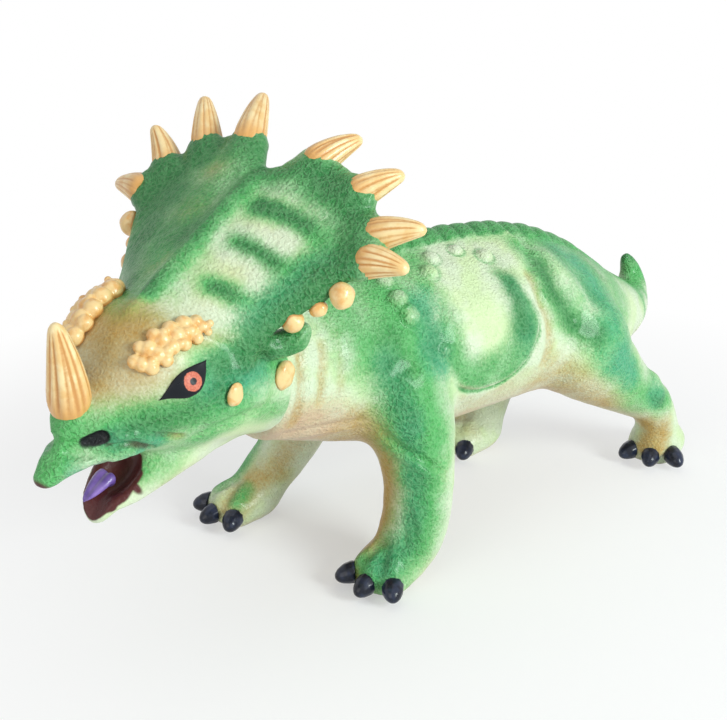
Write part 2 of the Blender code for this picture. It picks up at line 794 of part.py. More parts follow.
def make_torso(form):
    back_of_neck = cylinder(flange_point(0.0), flange_point(OVERRUN), TORSO_WIDTH / 2)
    mesh = cut(form.copy(), back_of_neck, tail_cutter(0.0))
    for name in LEG_SHARES:
        mesh = cut(mesh, leg_cutter(name, 0.0))
    plug = cylinder(flange_point(-WALL * 2), flange_point(PLUG_LENGTH), PLUG_RADIUS)
    bead_start = LIP_THICKNESS + SWIVEL_GAP
    bead = cylinder(flange_point(bead_start), flange_point(bead_start + BEAD_WIDTH), BEAD_RADIUS)
    for extra in (plug, bead):
        mesh = combined(mesh, mesh_from(extra, "plug"), "UNION")
    place, swing, height, half_width, half_depth = TORSO_RING_SHARES[HOLLOW_START_RING]
    inner = Vector((0.0, along_torso(place), height * BACK_HEIGHT))
    neck_bore = cylinder(inner, flange_point(PLUG_LENGTH + OVERRUN), PLUG_RADIUS - WALL)
    tail_path, tail_radii = tail_points()
    tail_bore = cylinder(tail_path[0] * 2 - tail_path[1], tail_path[2], tail_radii[3] - WALL, LIMB_SIDES)
    belly = stopper_place()
    hole = cylinder(belly - UP * OVERRUN, belly + UP * OVERRUN, STOPPER_RADIUS + SEAT_GAP)
    flat = belly + UP * WALL
    spotface = cylinder(flat, flat + UP * OVERRUN / 3, STOPPER_LIP_RADIUS + SWIVEL_GAP)
    mesh = cut(mesh, torso_hollow(WALL), neck_bore, tail_bore, hole, spotface)
    for name in LEG_SHARES:
        mesh = cut(mesh, leg_bore(name))
    return largest_body(mesh)


def make_stopper():
    """A push-in plug that closes the filling hole in the belly."""
    belly = stopper_place()
    lip_start = belly + UP * (WALL + SEAT_GAP)
    lip_end = lip_start + UP * STOPPER_LIP_THICKNESS
    stem = cylinder(belly + UP * SEAT_GAP, lip_end, STOPPER_RADIUS)
    lip = cylinder(lip_start, lip_end, STOPPER_LIP_RADIUS)
    return combined(mesh_from(stem, "belly_stopper"), mesh_from(lip, "lip"), "UNION")


def make_torso_stuffing():
    """The soft filling of the body, clear of the stopper."""
    belly = stopper_place()
    top = belly + UP * (WALL + SEAT_GAP * 2 + STOPPER_LIP_THICKNESS)
    clear = cylinder(belly - UP * OVERRUN, top, STOPPER_LIP_RADIUS + SWIVEL_GAP)
    return cut(mesh_from(torso_hollow(WALL + SEAT_GAP), "torso_stuffing"), clear)


def make_leg(form, name):
    mesh = combined(form.copy(), mesh_from(leg_cutter(name, SEAT_GAP), "leg"), "INTERSECT")
    return largest_body(cut(mesh, leg_bore(name)))


def make_tail(form):
    path, radii = tail_points()
    mesh = combined(form.copy(), mesh_from(tail_cutter(SEAT_GAP), "tail"), "INTERSECT")
    bore = cylinder(path[0], path[3], radii[3] - WALL, LIMB_SIDES)
    return largest_body(cut(mesh, bore))


def head_hollow(inset):
    """The room inside the skull, kept clear of the neck lip."""
    rings = []
    for forward in HEAD_HOLLOW_SHARES:
        height, half_width, half_depth = skull_ring_at(forward)
        centre = head_point(forward * HEAD_LENGTH, 0.0, height * HEAD_DEPTH)
        side = Vector((half_width * HEAD_WIDTH - inset, 0.0, 0.0))
        rings.append((centre, side, UP * (half_depth * HEAD_DEPTH - inset)))
    bm = loft(stepped_in(rings, inset - WALL), LIMB_SIDES)
    bm.transform(head_frame())
    wall = (0.0, -FLANGE_PLACE - LIP_THICKNESS - (inset - WALL), 0.0)
    whole = bm.verts[:] + bm.edges[:] + bm.faces[:]
    bmesh.ops.bisect_plane(bm, geom=whole, plane_co=wall, plane_no=(0, 1, 0), clear_outer=True)
    bmesh.ops.holes_fill(bm, edges=[e for e in bm.edges if e.is_boundary], sides=0)
    return bm


def make_head_stuffing():
    """The soft filling of the skull, clear of the neck plug."""
    end = flange_point(PLUG_LENGTH + SWIVEL_GAP * 2 + SEAT_GAP)
    clear = cylinder(flange_point(0.0), end, BEAD_RADIUS + SWIVEL_GAP * 2 + SEAT_GAP)
    return cut(mesh_from(head_hollow(WALL + SEAT_GAP), "head_stuffing"), clear)


def eye_ball(sign, gap):
    bm = bmesh.new()
    centre = skull_skin(EYE_PLACE_SHARE, EYE_PLACE_DEGREES, sign, EYE_RADIUS * EYE_SINK_SHARE)
    axes = [EYE_RADIUS * share + gap for share in EYE_SHAPE]
    ball(bm, centre, axes, Matrix.Rotation(EYE_TILT, 4, "X"))
    bm.transform(head_frame())
    return bm


def make_head(form):
    rear = cylinder(flange_point(-OVERRUN), flange_point(SWIVEL_GAP), HEAD_WIDTH * HEAD_CUT_SHARE)
    socket = cylinder(flange_point(-OVERRUN), flange_point(PLUG_LENGTH), PLUG_RADIUS + SWIVEL_GAP)
    room = BEAD_RADIUS + SWIVEL_GAP * 2
    chamber = cylinder(flange_point(LIP_THICKNESS), flange_point(PLUG_LENGTH + SWIVEL_GAP * 2), room)
    mesh = cut(form.copy(), rear, head_hollow(WALL), socket, chamber)
    return largest_body(cut(mesh, eye_ball(1, SEAT_GAP), eye_ball(-1, SEAT_GAP)))


def spike(base, way, length, radius, bend, rows=SPIKE_TAPER_SHARES):
    """A tapering horn that bends a little towards its tip."""
    points = [base + way * length * share + bend * length * share * share for share, wide in rows]
    return loft(limb_rings(points, [radius * wide for share, wide in rows]), SPIKE_SIDES)


def make_frill_trim(casting):
    for side_name, sign in (("left", 1), ("right", -1)):
        for number, (row, *both) in enumerate(SPIKE_SHARES, 1):
            rim = frill_point(FRILL_RIM_SHARES[row], sign)
            root = frill_point(FRILL_ROOT_SHARES[row], sign)
            size, (forward, side, up) = both[:2] if sign > 0 else both[2:]
            out = head_point(forward, sign * side, up).normalized()
            base = rim.lerp(root, SPIKE_RADIUS / (rim - root).length) - UP * FRILL_THICKNESS / 2
            name = "frill_spike_%s_%d" % (side_name, number)
            bm = spike(base, out, SPIKE_LENGTH * size, SPIKE_RADIUS, UP * SPIKE_BEND)
            new_object(name, seated(mesh_from(in_head(bm), name), casting))
        for number, (row, size) in enumerate(RIM_NUB_SHARES, 1):
            name = "frill_nub_%s_%d" % (side_name, number)
            bm = bmesh.new()
            centre = frill_point(FRILL_RIM_SHARES[row], sign)
            ball(bm, centre, (NUB_RADIUS * size,) * 3, rows=NUB_ROWS, columns=NUB_COLUMNS)
            new_object(name, seated(mesh_from(in_head(bm), name), casting))
        for number, (forward, degrees, size) in enumerate(CHEEK_NUB_SHARES, 1):
            name = "cheek_nub_%s_%d" % (side_name, number)
            bm = bmesh.new()
            radius = NUB_RADIUS * size
            centre = skull_skin(forward, degrees, sign, radius * CHEEK_NUB_SINK_SHARE)
            half = [radius * share for share in CHEEK_NUB_SHAPE]
            ball(bm, centre, half, rows=NUB_ROWS, columns=NUB_COLUMNS)
            new_object(name, seated(mesh_from(in_head(bm), name), casting))


def make_brow_boss(casting, side_name, sign):
    """A raised cluster of round scales over one eye."""
    bm = bmesh.new()
    for row, count in BOSS_ROWS:
        for index in range(count):
            along = (index - (count - 1) / 2) * BOSS_LENGTH / 5 / HEAD_LENGTH
            turn = math.degrees(row * BOSS_WIDTH / 3 / (HEAD_WIDTH / 2))
            centre = skull_skin(BOSS_PLACE_SHARE + along, BOSS_PLACE_DEGREES + turn, sign)
            ball(bm, centre, (BOSS_BALL_RADIUS,) * 3)
    name = "brow_boss_" + side_name
    mesh = fused(in_head(bm), name, BOSS_GRAIN, BOSS_KEEP, BOSS_PASSES)
    new_object(name, seated(mesh, casting))


def make_face(casting):
    for side_name, sign in (("left", 1), ("right", -1)):
        new_object("eye_" + side_name, mesh_from(eye_ball(sign, 0.0), "eye_" + side_name))
        make_brow_boss(casting, side_name, sign)
    forward, up = NOSE_HORN_PLACE_SHARES
    base = head_point(forward * HEAD_LENGTH, 0.0, up * HEAD_DEPTH)
    way = head_point(*NOSE_HORN_WAY).normalized()
    back = head_point(-1.0, 0.0, 0.0)
    horn = spike(base, way, NOSE_HORN_LENGTH, NOSE_HORN_RADIUS, back * NOSE_HORN_BEND)
    new_object("nose_horn", seated(mesh_from(in_head(horn), "nose_horn"), casting))
    bm = bmesh.new()
    forward, up = TONGUE_PLACE_SHARES
    centre = head_point(forward * HEAD_LENGTH, 0.0, up * HEAD_DEPTH)
    ball(bm, centre, (TONGUE_WIDTH / 2, TONGUE_LENGTH / 2, TONGUE_HEIGHT / 2), rows=NUB_ROWS)
    new_object("tongue", seated(mesh_from(in_head(bm), "tongue"), casting))


def make_claws(leg, name):
    for number, (tip, way) in enumerate(toe_tips(name), 1):
        claw = name.replace("_leg", "_claw_%d" % number)
        base = tip - way * CLAW_LENGTH * CLAW_SEAT_SHARE + UP * TOE_RADIUS
        bm = spike(base, way, CLAW_LENGTH, CLAW_RADIUS, UP * CLAW_BEND, CLAW_TAPER_SHARES)
        new_object(claw, seated(mesh_from(bm, claw), leg))


def paint(thing):
    """Give a piece its own material, and round shading with its crisp edges kept."""
    colour, rough = next(PAINTS[start] for start in PAINTS if thing.name.startswith(start))
    material = bpy.data.materials.new(thing.name + "_paint")
    material.use_nodes = True
    shader = material.node_tree.nodes["Principled BSDF"]
    shader.inputs["Base Color"].default_value = (*colour, 1.0)
    shader.inputs["Roughness"].default_value = rough
    shader.inputs["Metallic"].default_value = 0.0
    material.diffuse_color = (*colour, 1.0)
    thing.data.materials.clear()
    thing.data.materials.append(material)
    for face in thing.data.polygons:
        face.use_smooth = True
    thing.data.set_sharp_from_angle(angle=SMOOTH_ANGLE)


def stand_at_origin():
    """Put the middle of the whole figure over the origin and hang the head on its joint."""
    pieces = [thing for thing in bpy.data.objects if thing.type == "MESH"]
    points = [vert.co for piece in pieces for vert in piece.data.vertices]
    low = Vector([min(point[axis] for point in points) for axis in range(3)])
    high = Vector([max(point[axis] for point in points) for axis in range(3)])
    middle = (low + high) / 2
    shift = Matrix.Translation((-middle.x, -middle.y, -low.z))
    for piece in pieces:
        piece.data.transform(shift)
        paint(piece)
    joint = new_object("head_swivel", None)
    joint.location = shift @ flange_point(0.0)
    bpy.context.view_layer.update()
    for piece in pieces:
        if piece.name.startswith(HEAD_PIECES):
            piece.parent = joint
            piece.matrix_parent_inverse = joint.matrix_world.inverted()


def main():
    clear_scene()
    body = body_form()
    new_object("torso", make_torso(body))
    for name in LEG_SHARES:
        leg = make_leg(body, name)
        make_claws(leg, name)
        new_object(name, leg)
    new_object("tail", make_tail(body))
    new_object("belly_stopper", make_stopper())
    new_object("torso_stuffing", make_torso_stuffing())
    new_object("head_stuffing", make_head_stuffing())
    head = head_form()
    new_object("head", make_head(head))
    make_frill_trim(head)
    make_face(head)
    stand_at_origin()


main()
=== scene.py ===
# %% [markdown]
# # A painted soft-vinyl dinosaur figure
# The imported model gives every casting, horn and claw its place and size. This lesson gives them the
# surface of the real figure: smooth moulded vinyl, scutes, folds, fluted horns and airbrushed paint.
# All tables are in millimetres, because that is how one measures a toy of this size.

import math

import bmesh
import bpy
import numpy as np
from mathutils import Matrix, Vector, noise
from mathutils.bvhtree import BVHTree


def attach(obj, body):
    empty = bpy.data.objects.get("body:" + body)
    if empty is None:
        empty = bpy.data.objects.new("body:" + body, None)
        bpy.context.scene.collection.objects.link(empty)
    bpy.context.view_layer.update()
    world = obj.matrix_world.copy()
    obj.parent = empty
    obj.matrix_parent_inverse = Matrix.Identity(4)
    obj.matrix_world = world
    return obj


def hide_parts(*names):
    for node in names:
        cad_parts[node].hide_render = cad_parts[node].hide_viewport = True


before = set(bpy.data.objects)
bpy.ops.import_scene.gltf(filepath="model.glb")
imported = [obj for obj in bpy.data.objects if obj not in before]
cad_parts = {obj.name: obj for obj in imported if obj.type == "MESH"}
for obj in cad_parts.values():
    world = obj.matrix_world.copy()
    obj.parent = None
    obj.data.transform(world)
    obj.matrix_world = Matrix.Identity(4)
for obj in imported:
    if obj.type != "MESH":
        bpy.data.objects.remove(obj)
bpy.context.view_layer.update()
MM = 0.001

# %% [markdown]
# ## The camera
# The photograph looks at the figure's left front, a little from above. A camera is easiest to place
# by a target, a compass angle, a rise and a distance, so these four are the values to change.

# %% Place the camera
VIEW_TARGET = Vector((-0.0775, 0.0316, 0.0688))
VIEW_ANGLE = math.radians(52)
VIEW_RISE = math.radians(22)
VIEW_DISTANCE = 0.731

flat = math.cos(VIEW_RISE)
to_viewer = Vector((math.sin(VIEW_ANGLE) * flat, -math.cos(VIEW_ANGLE) * flat, math.sin(VIEW_RISE)))
camera = bpy.data.objects.new("view", bpy.data.cameras.new("view"))
bpy.context.scene.collection.objects.link(camera)
camera.location = VIEW_TARGET + to_viewer * VIEW_DISTANCE
camera.rotation_euler = to_viewer.to_track_quat("Z", "Y").to_euler()
camera.data.lens = 62
camera.data.sensor_width = 36
camera.data.clip_start = 0.01
bpy.context.scene.camera = camera
print("camera at", [round(v, 3) for v in camera.location])

# %% [markdown]
# ## Soft daylight on a white floor
# Vinyl paint shows its lamps, so they are soft: a bright window on the figure's left, which draws
# small highlights on the pebbles, a weaker light from the ceiling and a faint one from the front.
# What the camera sees of the world is plain white, through Light Path, while the light that reaches
# the figure stays modest.

# %% Lamps, world and floor
def soft_box(name, place, size, watts, tint):
    """A square lamp that looks at the middle of the figure."""
    lamp = bpy.data.lights.new(name, "AREA")
    lamp.size, lamp.energy, lamp.color = size, watts, tint
    thing = bpy.data.objects.new(name, lamp)
    thing.location = place
    thing.rotation_euler = (Vector(place) - VIEW_TARGET).to_track_quat("Z", "Y").to_euler()
    bpy.context.scene.collection.objects.link(thing)


def seen_only(tree):
    """A factor that is one for what the camera, gloss and glass see, and nought for light."""
    path = tree.nodes.new("ShaderNodeLightPath")
    total = path.outputs["Is Camera Ray"]
    for ray in ("Is Glossy Ray", "Is Transmission Ray"):
        either = tree.nodes.new("ShaderNodeMath")
        either.operation = "MAXIMUM"
        tree.links.new(total, either.inputs[0])
        tree.links.new(path.outputs[ray], either.inputs[1])
        total = either.outputs[0]
    return total


soft_box("window", (1.20, 0.30, 0.62), 0.5, 16.0, (0.92, 1.0, 0.98))
soft_box("ceiling", (0.0, -0.2, 1.2), 0.9, 2.0, (1.0, 0.96, 0.90))
soft_box("front_fill", (0.25, -1.15, 0.35), 0.8, 3.0, (1.0, 0.96, 0.90))

world = bpy.data.worlds.new("studio")
bpy.context.scene.world = world
world.use_nodes = True
lit = world.node_tree.nodes["Background"]
lit.inputs["Color"].default_value = (0.93, 0.96, 1.0, 1.0)
lit.inputs["Strength"].default_value = 0.36
seen = world.node_tree.nodes.new("ShaderNodeBackground")
seen.inputs["Color"].default_value = (1.0, 1.0, 1.0, 1.0)
seen.inputs["Strength"].default_value = 1.0
which = world.node_tree.nodes.new("ShaderNodeMixShader")
world.node_tree.links.new(seen_only(world.node_tree), which.inputs[0])
world.node_tree.links.new(lit.outputs[0], which.inputs[1])
world.node_tree.links.new(seen.outputs[0], which.inputs[2])
world.node_tree.links.new(which.outputs[0], world.node_tree.nodes["World Output"].inputs[0])

FLOOR_RADIUS = 3.0
bm = bmesh.new()
bmesh.ops.create_circle(bm, cap_ends=True, segments=96, radius=FLOOR_RADIUS)
floor_mesh = bpy.data.meshes.new("floor")
bm.to_mesh(floor_mesh)
bm.free()
floor = bpy.data.objects.new("floor", floor_mesh)
bpy.context.scene.collection.objects.link(floor)
paper = bpy.data.materials.new("white_floor")
paper.use_nodes = True
tree = paper.node_tree
paint = tree.nodes["Principled BSDF"]
paint.inputs["Base Color"].default_value = (0.93, 0.93, 0.93, 1.0)
paint.inputs["Roughness"].default_value = 0.8
white = tree.nodes.new("ShaderNodeEmission")
away = tree.nodes.new("ShaderNodeTexCoord")
reach = tree.nodes.new("ShaderNodeVectorMath")
reach.operation = "LENGTH"
fade = tree.nodes.new("ShaderNodeMapRange")
fade.inputs["From Min"].default_value = -0.20
fade.inputs["From Max"].default_value = 0.42
both = tree.nodes.new("ShaderNodeMath")
both.operation = "MULTIPLY"
mix = tree.nodes.new("ShaderNodeMixShader")
tree.links.new(away.outputs["Object"], reach.inputs[0])
tree.links.new(reach.outputs["Value"], fade.inputs["Value"])
tree.links.new(fade.outputs["Result"], both.inputs[0])
tree.links.new(seen_only(tree), both.inputs[1])
tree.links.new(both.outputs[0], mix.inputs[0])
tree.links.new(paint.outputs[0], mix.inputs[1])
tree.links.new(white.outputs[0], mix.inputs[2])
tree.links.new(mix.outputs[0], tree.nodes["Material Output"].inputs[0])
floor.data.materials.append(paper)
bpy.context.scene.view_settings.view_transform = "Standard"
print("lamps, a white world and a floor of", FLOOR_RADIUS, "m radius")

# %% [markdown]
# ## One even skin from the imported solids
# The castings are made of flat facets, good for a solid model and too coarse for looks. A voxel
# remesh lays an even net of small faces over copies of them, and smoothing takes the facets away.
# The copies are swollen a little first, so that the thin seams between castings close. A Boolean
# carves one skin with another, and a packed horn gives its long axis to the piece that replaces it.

# %% Copy, remesh and split helpers
def closed_copy(names, swell):
    """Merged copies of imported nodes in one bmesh, each a little larger."""
    whole = bmesh.new()
    for name in names:
        part = bmesh.new()
        part.from_mesh(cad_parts[name].data)
        bmesh.ops.remove_doubles(part, verts=part.verts, dist=MM / 1000)
        part.normal_update()
        for vert in part.verts:
            vert.co += vert.normal * swell * MM
        mesh = bpy.data.meshes.new(name)
        part.to_mesh(mesh)
        part.free()
        whole.from_mesh(mesh)
        bpy.data.meshes.remove(mesh)
    return whole


def mesh_of(bm, name):
    """A mesh with the bmesh's shape; the bmesh is freed."""
    mesh = bpy.data.meshes.new(name)
    bm.to_mesh(mesh)
    bm.free()
    return mesh


def worked(mesh, prepare):
    """The mesh after the modifiers that prepare() adds."""
    thing = bpy.data.objects.new("worked", mesh)
    bpy.context.scene.collection.objects.link(thing)
    prepare(thing)
    seen_by = bpy.context.evaluated_depsgraph_get()
    made = bpy.data.meshes.new_from_object(thing.evaluated_get(seen_by))
    bpy.data.objects.remove(thing, do_unlink=True)
    return made


def biggest_body(mesh):
    """Drops bubbles and crumbs beside the main body."""
    bm = bmesh.new()
    bm.from_mesh(mesh)
    left, bodies = set(bm.verts), []
    while left:
        stack = [left.pop()]
        body = list(stack)
        while stack:
            for edge in stack.pop().link_edges:
                for vert in edge.verts:
                    if vert in left:
                        left.discard(vert)
                        body.append(vert)
                        stack.append(vert)
        bodies.append(body)
    bodies.sort(key=len)
    crumbs = [vert for body in bodies[:-1] for vert in body]
    bmesh.ops.delete(bm, geom=crumbs, context="VERTS")
    bm.to_mesh(mesh)
    bm.free()
    return mesh


def even_net(bm, grain):
    """A voxel remesh: one closed skin of faces about a grain wide."""
    def prepare(thing):
        net = thing.modifiers.new("net", "REMESH")
        net.mode = "VOXEL"
        net.voxel_size = grain * MM
    return biggest_body(worked(mesh_of(bm, "net"), prepare))


def carved(mesh, tool, operation="DIFFERENCE"):
    """A Boolean between two closed skins."""
    helper = bpy.data.objects.new("tool", mesh_of(tool, "tool"))
    bpy.context.scene.collection.objects.link(helper)

    def prepare(thing):
        cut = thing.modifiers.new("cut", "BOOLEAN")
        cut.operation = operation
        cut.solver = "MANIFOLD"
        cut.object = helper
    made = worked(mesh, prepare)
    bpy.data.objects.remove(helper, do_unlink=True)
    return made


def round_bar(start, way, length, radius, sides=64):
    """A closed cylinder from a point, along a way; millimetres."""
    way = Vector(way).normalized()
    middle = Vector(start) + way * length / 2
    place = Matrix.Translation(middle * MM) @ way.to_track_quat("Z", "Y").to_matrix().to_4x4()
    bm = bmesh.new()
    bmesh.ops.create_cone(bm, cap_ends=True, segments=sides, radius1=radius * MM,
                          radius2=radius * MM, depth=length * MM, matrix=place)
    return bm


def node_points(name):
    """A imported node's vertices as rows, in millimetres."""
    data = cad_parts[name].data
    return np.array([vert.co for vert in data.vertices]) / MM


def node_axis(name, root):
    """Base and tip of a packed horn: its long axis, and the end farther from a root point."""
    points = node_points(name)
    middle = points.mean(0)
    way = np.linalg.svd(points - middle)[2][0]
    if (middle - root) @ way < 0:
        way = -way
    spread = (points - middle) @ way
    return middle + way * spread.min(), middle + way * spread.max()


print("helpers ready")

# %% [markdown]
# ## Sculpting in code
# A dense skin can be sculpted like clay: each move takes the vertices near a drawn line and pushes
# them in or out. Holding the vertices in one array makes such a move a single line.

# %% The sculptor's tools
def off_line(points, line):
    """Distance from each point to a drawn line."""
    line = np.atleast_2d(np.array(line, float))
    if len(line) == 1:
        return np.linalg.norm(points - line[0], axis=1)
    best = np.full(len(points), np.inf)
    for start, end in zip(line[:-1], line[1:]):
        way = end - start
        share = np.clip((points - start) @ way / max(way @ way, 1e-9), 0, 1)
        gap = np.linalg.norm(points - start - share[:, None] * way, axis=1)
        best = np.minimum(best, gap)
    return best


def step(values, low, high):
    """Nought below low, one above high, smooth between."""
    share = np.clip((values - low) / (high - low), 0, 1)
    return share * share * (3 - 2 * share)


class Clay:
    """A skin as arrays, in the millimetres of its own axes."""

    def __init__(self, mesh, axes=Matrix.Identity(4)):
        self.mesh, self.axes = mesh, np.array(axes)
        flat = np.empty(len(mesh.vertices) * 3)
        mesh.vertices.foreach_get("co", flat)
        self.at = (flat.reshape(-1, 3) - self.axes[:3, 3]) @ self.axes[:3, :3] / MM
        pairs = np.empty(len(mesh.edges) * 2, int)
        mesh.edges.foreach_get("vertices", pairs)
        self.pairs = pairs.reshape(-1, 2)
        self.links = np.maximum(np.bincount(pairs, minlength=len(self.at)), 1)
        self.outward()

    def outward(self):
        """Looks up which way is out, after a change of shape."""
        self.mesh.calc_loop_triangles()
        corners = np.empty(len(self.mesh.loop_triangles) * 3, int)
        self.mesh.loop_triangles.foreach_get("vertices", corners)
        a, b, c = corners.reshape(-1, 3).T
        across = np.cross(self.at[b] - self.at[a], self.at[c] - self.at[a])
        out = np.stack([sum(np.bincount(k, across[:, i], len(self.at)) for k in (a, b, c))
                        for i in range(3)], 1)
        self.out = out / np.maximum(np.linalg.norm(out, axis=1, keepdims=True), 1e-12)

    def evened(self, values, passes):
        """Each value moves towards its neighbours' mean, again and again."""
        a, b = self.pairs.T
        for _ in range(passes):
            mean = np.stack([np.bincount(a, column[b], len(column)) + np.bincount(b, column[a], len(column))
                             for column in values.T], 1) / self.links[:, None]
            values = values + (mean - values) / 2
        return values

    def smooth(self, passes, keep):
        """Smooths, then gives back the volume that smoothing took."""
        before = self.at
        self.at = self.evened(self.at, passes)
        self.outward()
        lost = ((before - self.at) * self.out).sum(1, keepdims=True)
        self.at = self.at + self.out * self.evened(lost, keep)
        self.outward()

    def push(self, line, reach, height, flat=0.0, dome=False):
        """Moves the skin near a line out (or in, below nought), softly or as a crisp dome."""
        line = np.atleast_2d(np.array(line, float))
        low, high = line.min(0) - reach, line.max(0) + reach
        near = np.flatnonzero(((self.at > low) & (self.at < high)).all(1))
        gap = off_line(self.at[near], line)
        share = 1 - step(gap, flat * reach, reach)
        if dome:
            share = np.sqrt(np.clip(1 - (gap / reach) ** 2, 0, 1))
        self.at[near] += self.out[near] * (share * height)[:, None]

    def pull(self, line, reach, way, flat=0.0):
        """Drags the skin near a line along one way, in millimetres."""
        line = np.atleast_2d(np.array(line, float))
        low, high = line.min(0) - reach, line.max(0) + reach
        near = np.flatnonzero(((self.at > low) & (self.at < high)).all(1))
        share = 1 - step(off_line(self.at[near], line), flat * reach, reach)
        self.at[near] += share[:, None] * np.array(way, float)

    def keep(self):
        """Writes the shape back to the mesh, in metres."""
        world = self.at * MM @ self.axes[:3, :3].T + self.axes[:3, 3]
        self.mesh.vertices.foreach_set("co", world.ravel())
        self.mesh.update()
        return self.mesh


def lumps(points, size, seed=0.0):
    """Soft random lumps between -1 and 1, about a size wide."""
    shift = Vector((seed, seed * 2, seed * 3))
    return np.array([noise.noise(Vector(p) / size + shift) for p in points.tolist()])


MIDDLE = -17.3


def mirrored(line):
    """The same line on the figure's right side."""
    return [(2 * MIDDLE - x, y, z) for x, y, z in line]


print("sculpting tools ready")

# %% [markdown]
# ## The body's skin
# Torso, legs and tail are remeshed together, so that their forms flow into each other, and sculpted
# as one. They are cut apart again at the flanges afterwards, because the real castings are glued.

# %% Remesh and smooth the body
BODY_NODES = ["torso", "torso_stuffing", "belly_stopper", "tail", "front_left_leg",
              "front_right_leg", "hind_left_leg", "hind_right_leg"]
body_bm = closed_copy(BODY_NODES, 0.25)
bore = round_bar((1.7, -124.0, 122.0), (0, 1, 0), 70.0, 16.0)
body_bm.from_mesh(mesh_of(bore, "bore"))
body = Clay(even_net(body_bm, 1.2))
body.smooth(40, 30)
print("body skin:", len(body.at), "points")

# %% [markdown]
# ## Scutes, bumps and folds
# A row of square scutes runs down the back, round bumps sit over the shoulder, and a raised oval
# marks the flank. Scutes and the oval are patterns over a region, bumps and folds are drawn lines.

# %% Sculpt the body
SCUTE_LENGTH = 11.5
BUMPS = [((7, -21, 150), 5.0, 3.0), ((16, -20, 142), 6.0, 3.8), ((22, -18, 136), 5.8, 3.6),
         ((0, 14, 153), 4.6, 3.0), ((8, 6, 149), 4.8, 3.2), ((-1, 32, 154), 3.8, 2.6),
         ((6, 46, 150), 4.4, 3.2), ((31, -3, 117), 3.6, 1.6)]
FOLDS = [([(-2, 83, 148), (8, 76, 143), (18, 67, 138), (27, 67, 127), (30, 70, 116),
         (32, 71, 102), (30, 70, 92)], 6.0, -1.8),
         ([(2, 78, 149), (14, 84, 140), (24, 84, 128), (30, 90, 112)], 5.0, -1.2),
         ([(8, 92, 143), (20, 96, 130), (30, 104, 114)], 9.0, 1.6),
         ([(-8, 75, 152), (-1, 78, 149), (5, 82, 146)], 5.0, 1.6),
         ([(23, 60, 133), (31, 61, 118), (32, 62, 106)], 4.0, 0.9),
         ([(26, -87, 141), (32, -90, 129), (33, -91, 115), (30, -93, 100)], 4.0, -1.2),
         ([(20, -82, 146), (29, -84, 133), (32, -84, 118)], 3.5, 0.8),
         ([(25, -73, 135), (30, -77, 123), (31, -78, 110)], 4.0, -1.1),
         ([(24, -62, 133), (29, -64, 121)], 4.0, -0.9),
         ([(22, -92, 96), (24, -70, 92), (26, -50, 90)], 4.5, -1.0),
         ([(18, -92, 90), (20, -72, 86), (22, -54, 85)], 3.5, 0.7)]
LEFT_LEG_FOLDS = [([(30, -39, 82), (38, -34, 75), (44, -27, 70), (48, -20, 63),
                  (48, -14, 58)], 4.0, -1.9),
                  ([(34, -38, 73), (42, -30, 67), (47, -22, 60)], 3.5, 1.0),
                  ([(46, -33, 44), (48, -31, 36), (49, -31, 30)], 3.5, 1.3),
                  ([(43, -38, 34), (45, -38, 27)], 3.0, -1.2),
                  ([(31, 163, 59), (34, 164, 52)], 8.0, 2.0),
                  ([(33, 150, 58), (37, 155, 50)], 6.0, -0.9)]



def scute_share(y):
    """How far along its own scute a place on the back lies, from 0 to 1."""
    return ((y + 15.0) / SCUTE_LENGTH) % 1.0


def flank_oval(y, z):
    """One on the outline of the flank's oval, less inside it."""
    return np.hypot((y - 28) / 34, (z - 120) / 31)


sideways = np.abs(body.at[:, 0] - MIDDLE)
along = body.at[:, 1]
on_top = step(body.out[:, 2], 0.25, 0.7)
tile = scute_share(along)
row = np.sin(np.pi * tile) ** 0.30 + 0.35 * tile
back = step(along, -66, -45) * (1 - step(along, 105, 165))
band = (1 - step(sideways, 8.2, 9.6)) * on_top * back
body.at += body.out * (band * (2.8 * row - 1.8))[:, None]

oval = flank_oval(along, body.at[:, 2])
on_side = step(sideways, 17, 30)
crisp = (1 - step(body.at[:, 2], 116, 140)) * step(along, -2, 12)
body.at += body.out * (on_side * crisp * (1 - step(oval, 0.92, 1.0)) * step(oval, 0.6, 0.85) * 0.9)[:, None]
body.at -= body.out * (on_side * crisp * np.exp(-((oval - 1.03) / 0.035) ** 2) * 1.7)[:, None]
for place, radius, height in BUMPS:
    for spot in ([place], mirrored([place])):
        body.push(spot, radius, height, dome=True)
for line, reach, height in FOLDS:
    for one in (line, mirrored(line)):
        body.push(one, reach, height)
for line, reach, height in LEFT_LEG_FOLDS:
    body.push(line, reach, height)
print("body sculpted:", len(BUMPS), "bumps and", len(FOLDS) + len(LEFT_LEG_FOLDS), "folds")

# %% [markdown]
# ## Toes
# Each foot spreads into three toes. A crease between two toes and a swelling behind each claw is
# all that it takes, so the feet share one recipe with their own middle and turn.

# %% Sculpt the feet and the neck's edge
FEET = {"front_left": ((32.7, -36.9), 15.0, 1.0), "front_right": ((-70.3, -57.6), 0.0, 1.0),
        "hind_left": ((20.7, 183.2), 30.0, 0.85), "hind_right": ((-57.3, 99.7), 0.0, 0.9)}
TOE_TURNS = (-38.0, 0.0, 38.0)


def toe_line(foot, degrees, points):
    """Points ahead of a foot's middle, each given by its distance and height."""
    (x, y), turn, size = FEET[foot]
    angle = math.radians(turn + degrees)
    return [(x + math.sin(angle) * far * size, y - math.cos(angle) * far * size, up * size)
            for far, up in points]


for foot in FEET:
    for degrees in (-19.0, 19.0):
        body.push(toe_line(foot, degrees, [(6, 24), (14, 17), (21, 8), (22, 2)]), 5.0, -2.4)
    for degrees in TOE_TURNS:
        body.push(toe_line(foot, degrees, [(8, 21), (15, 16)]), 6.0, 1.2)

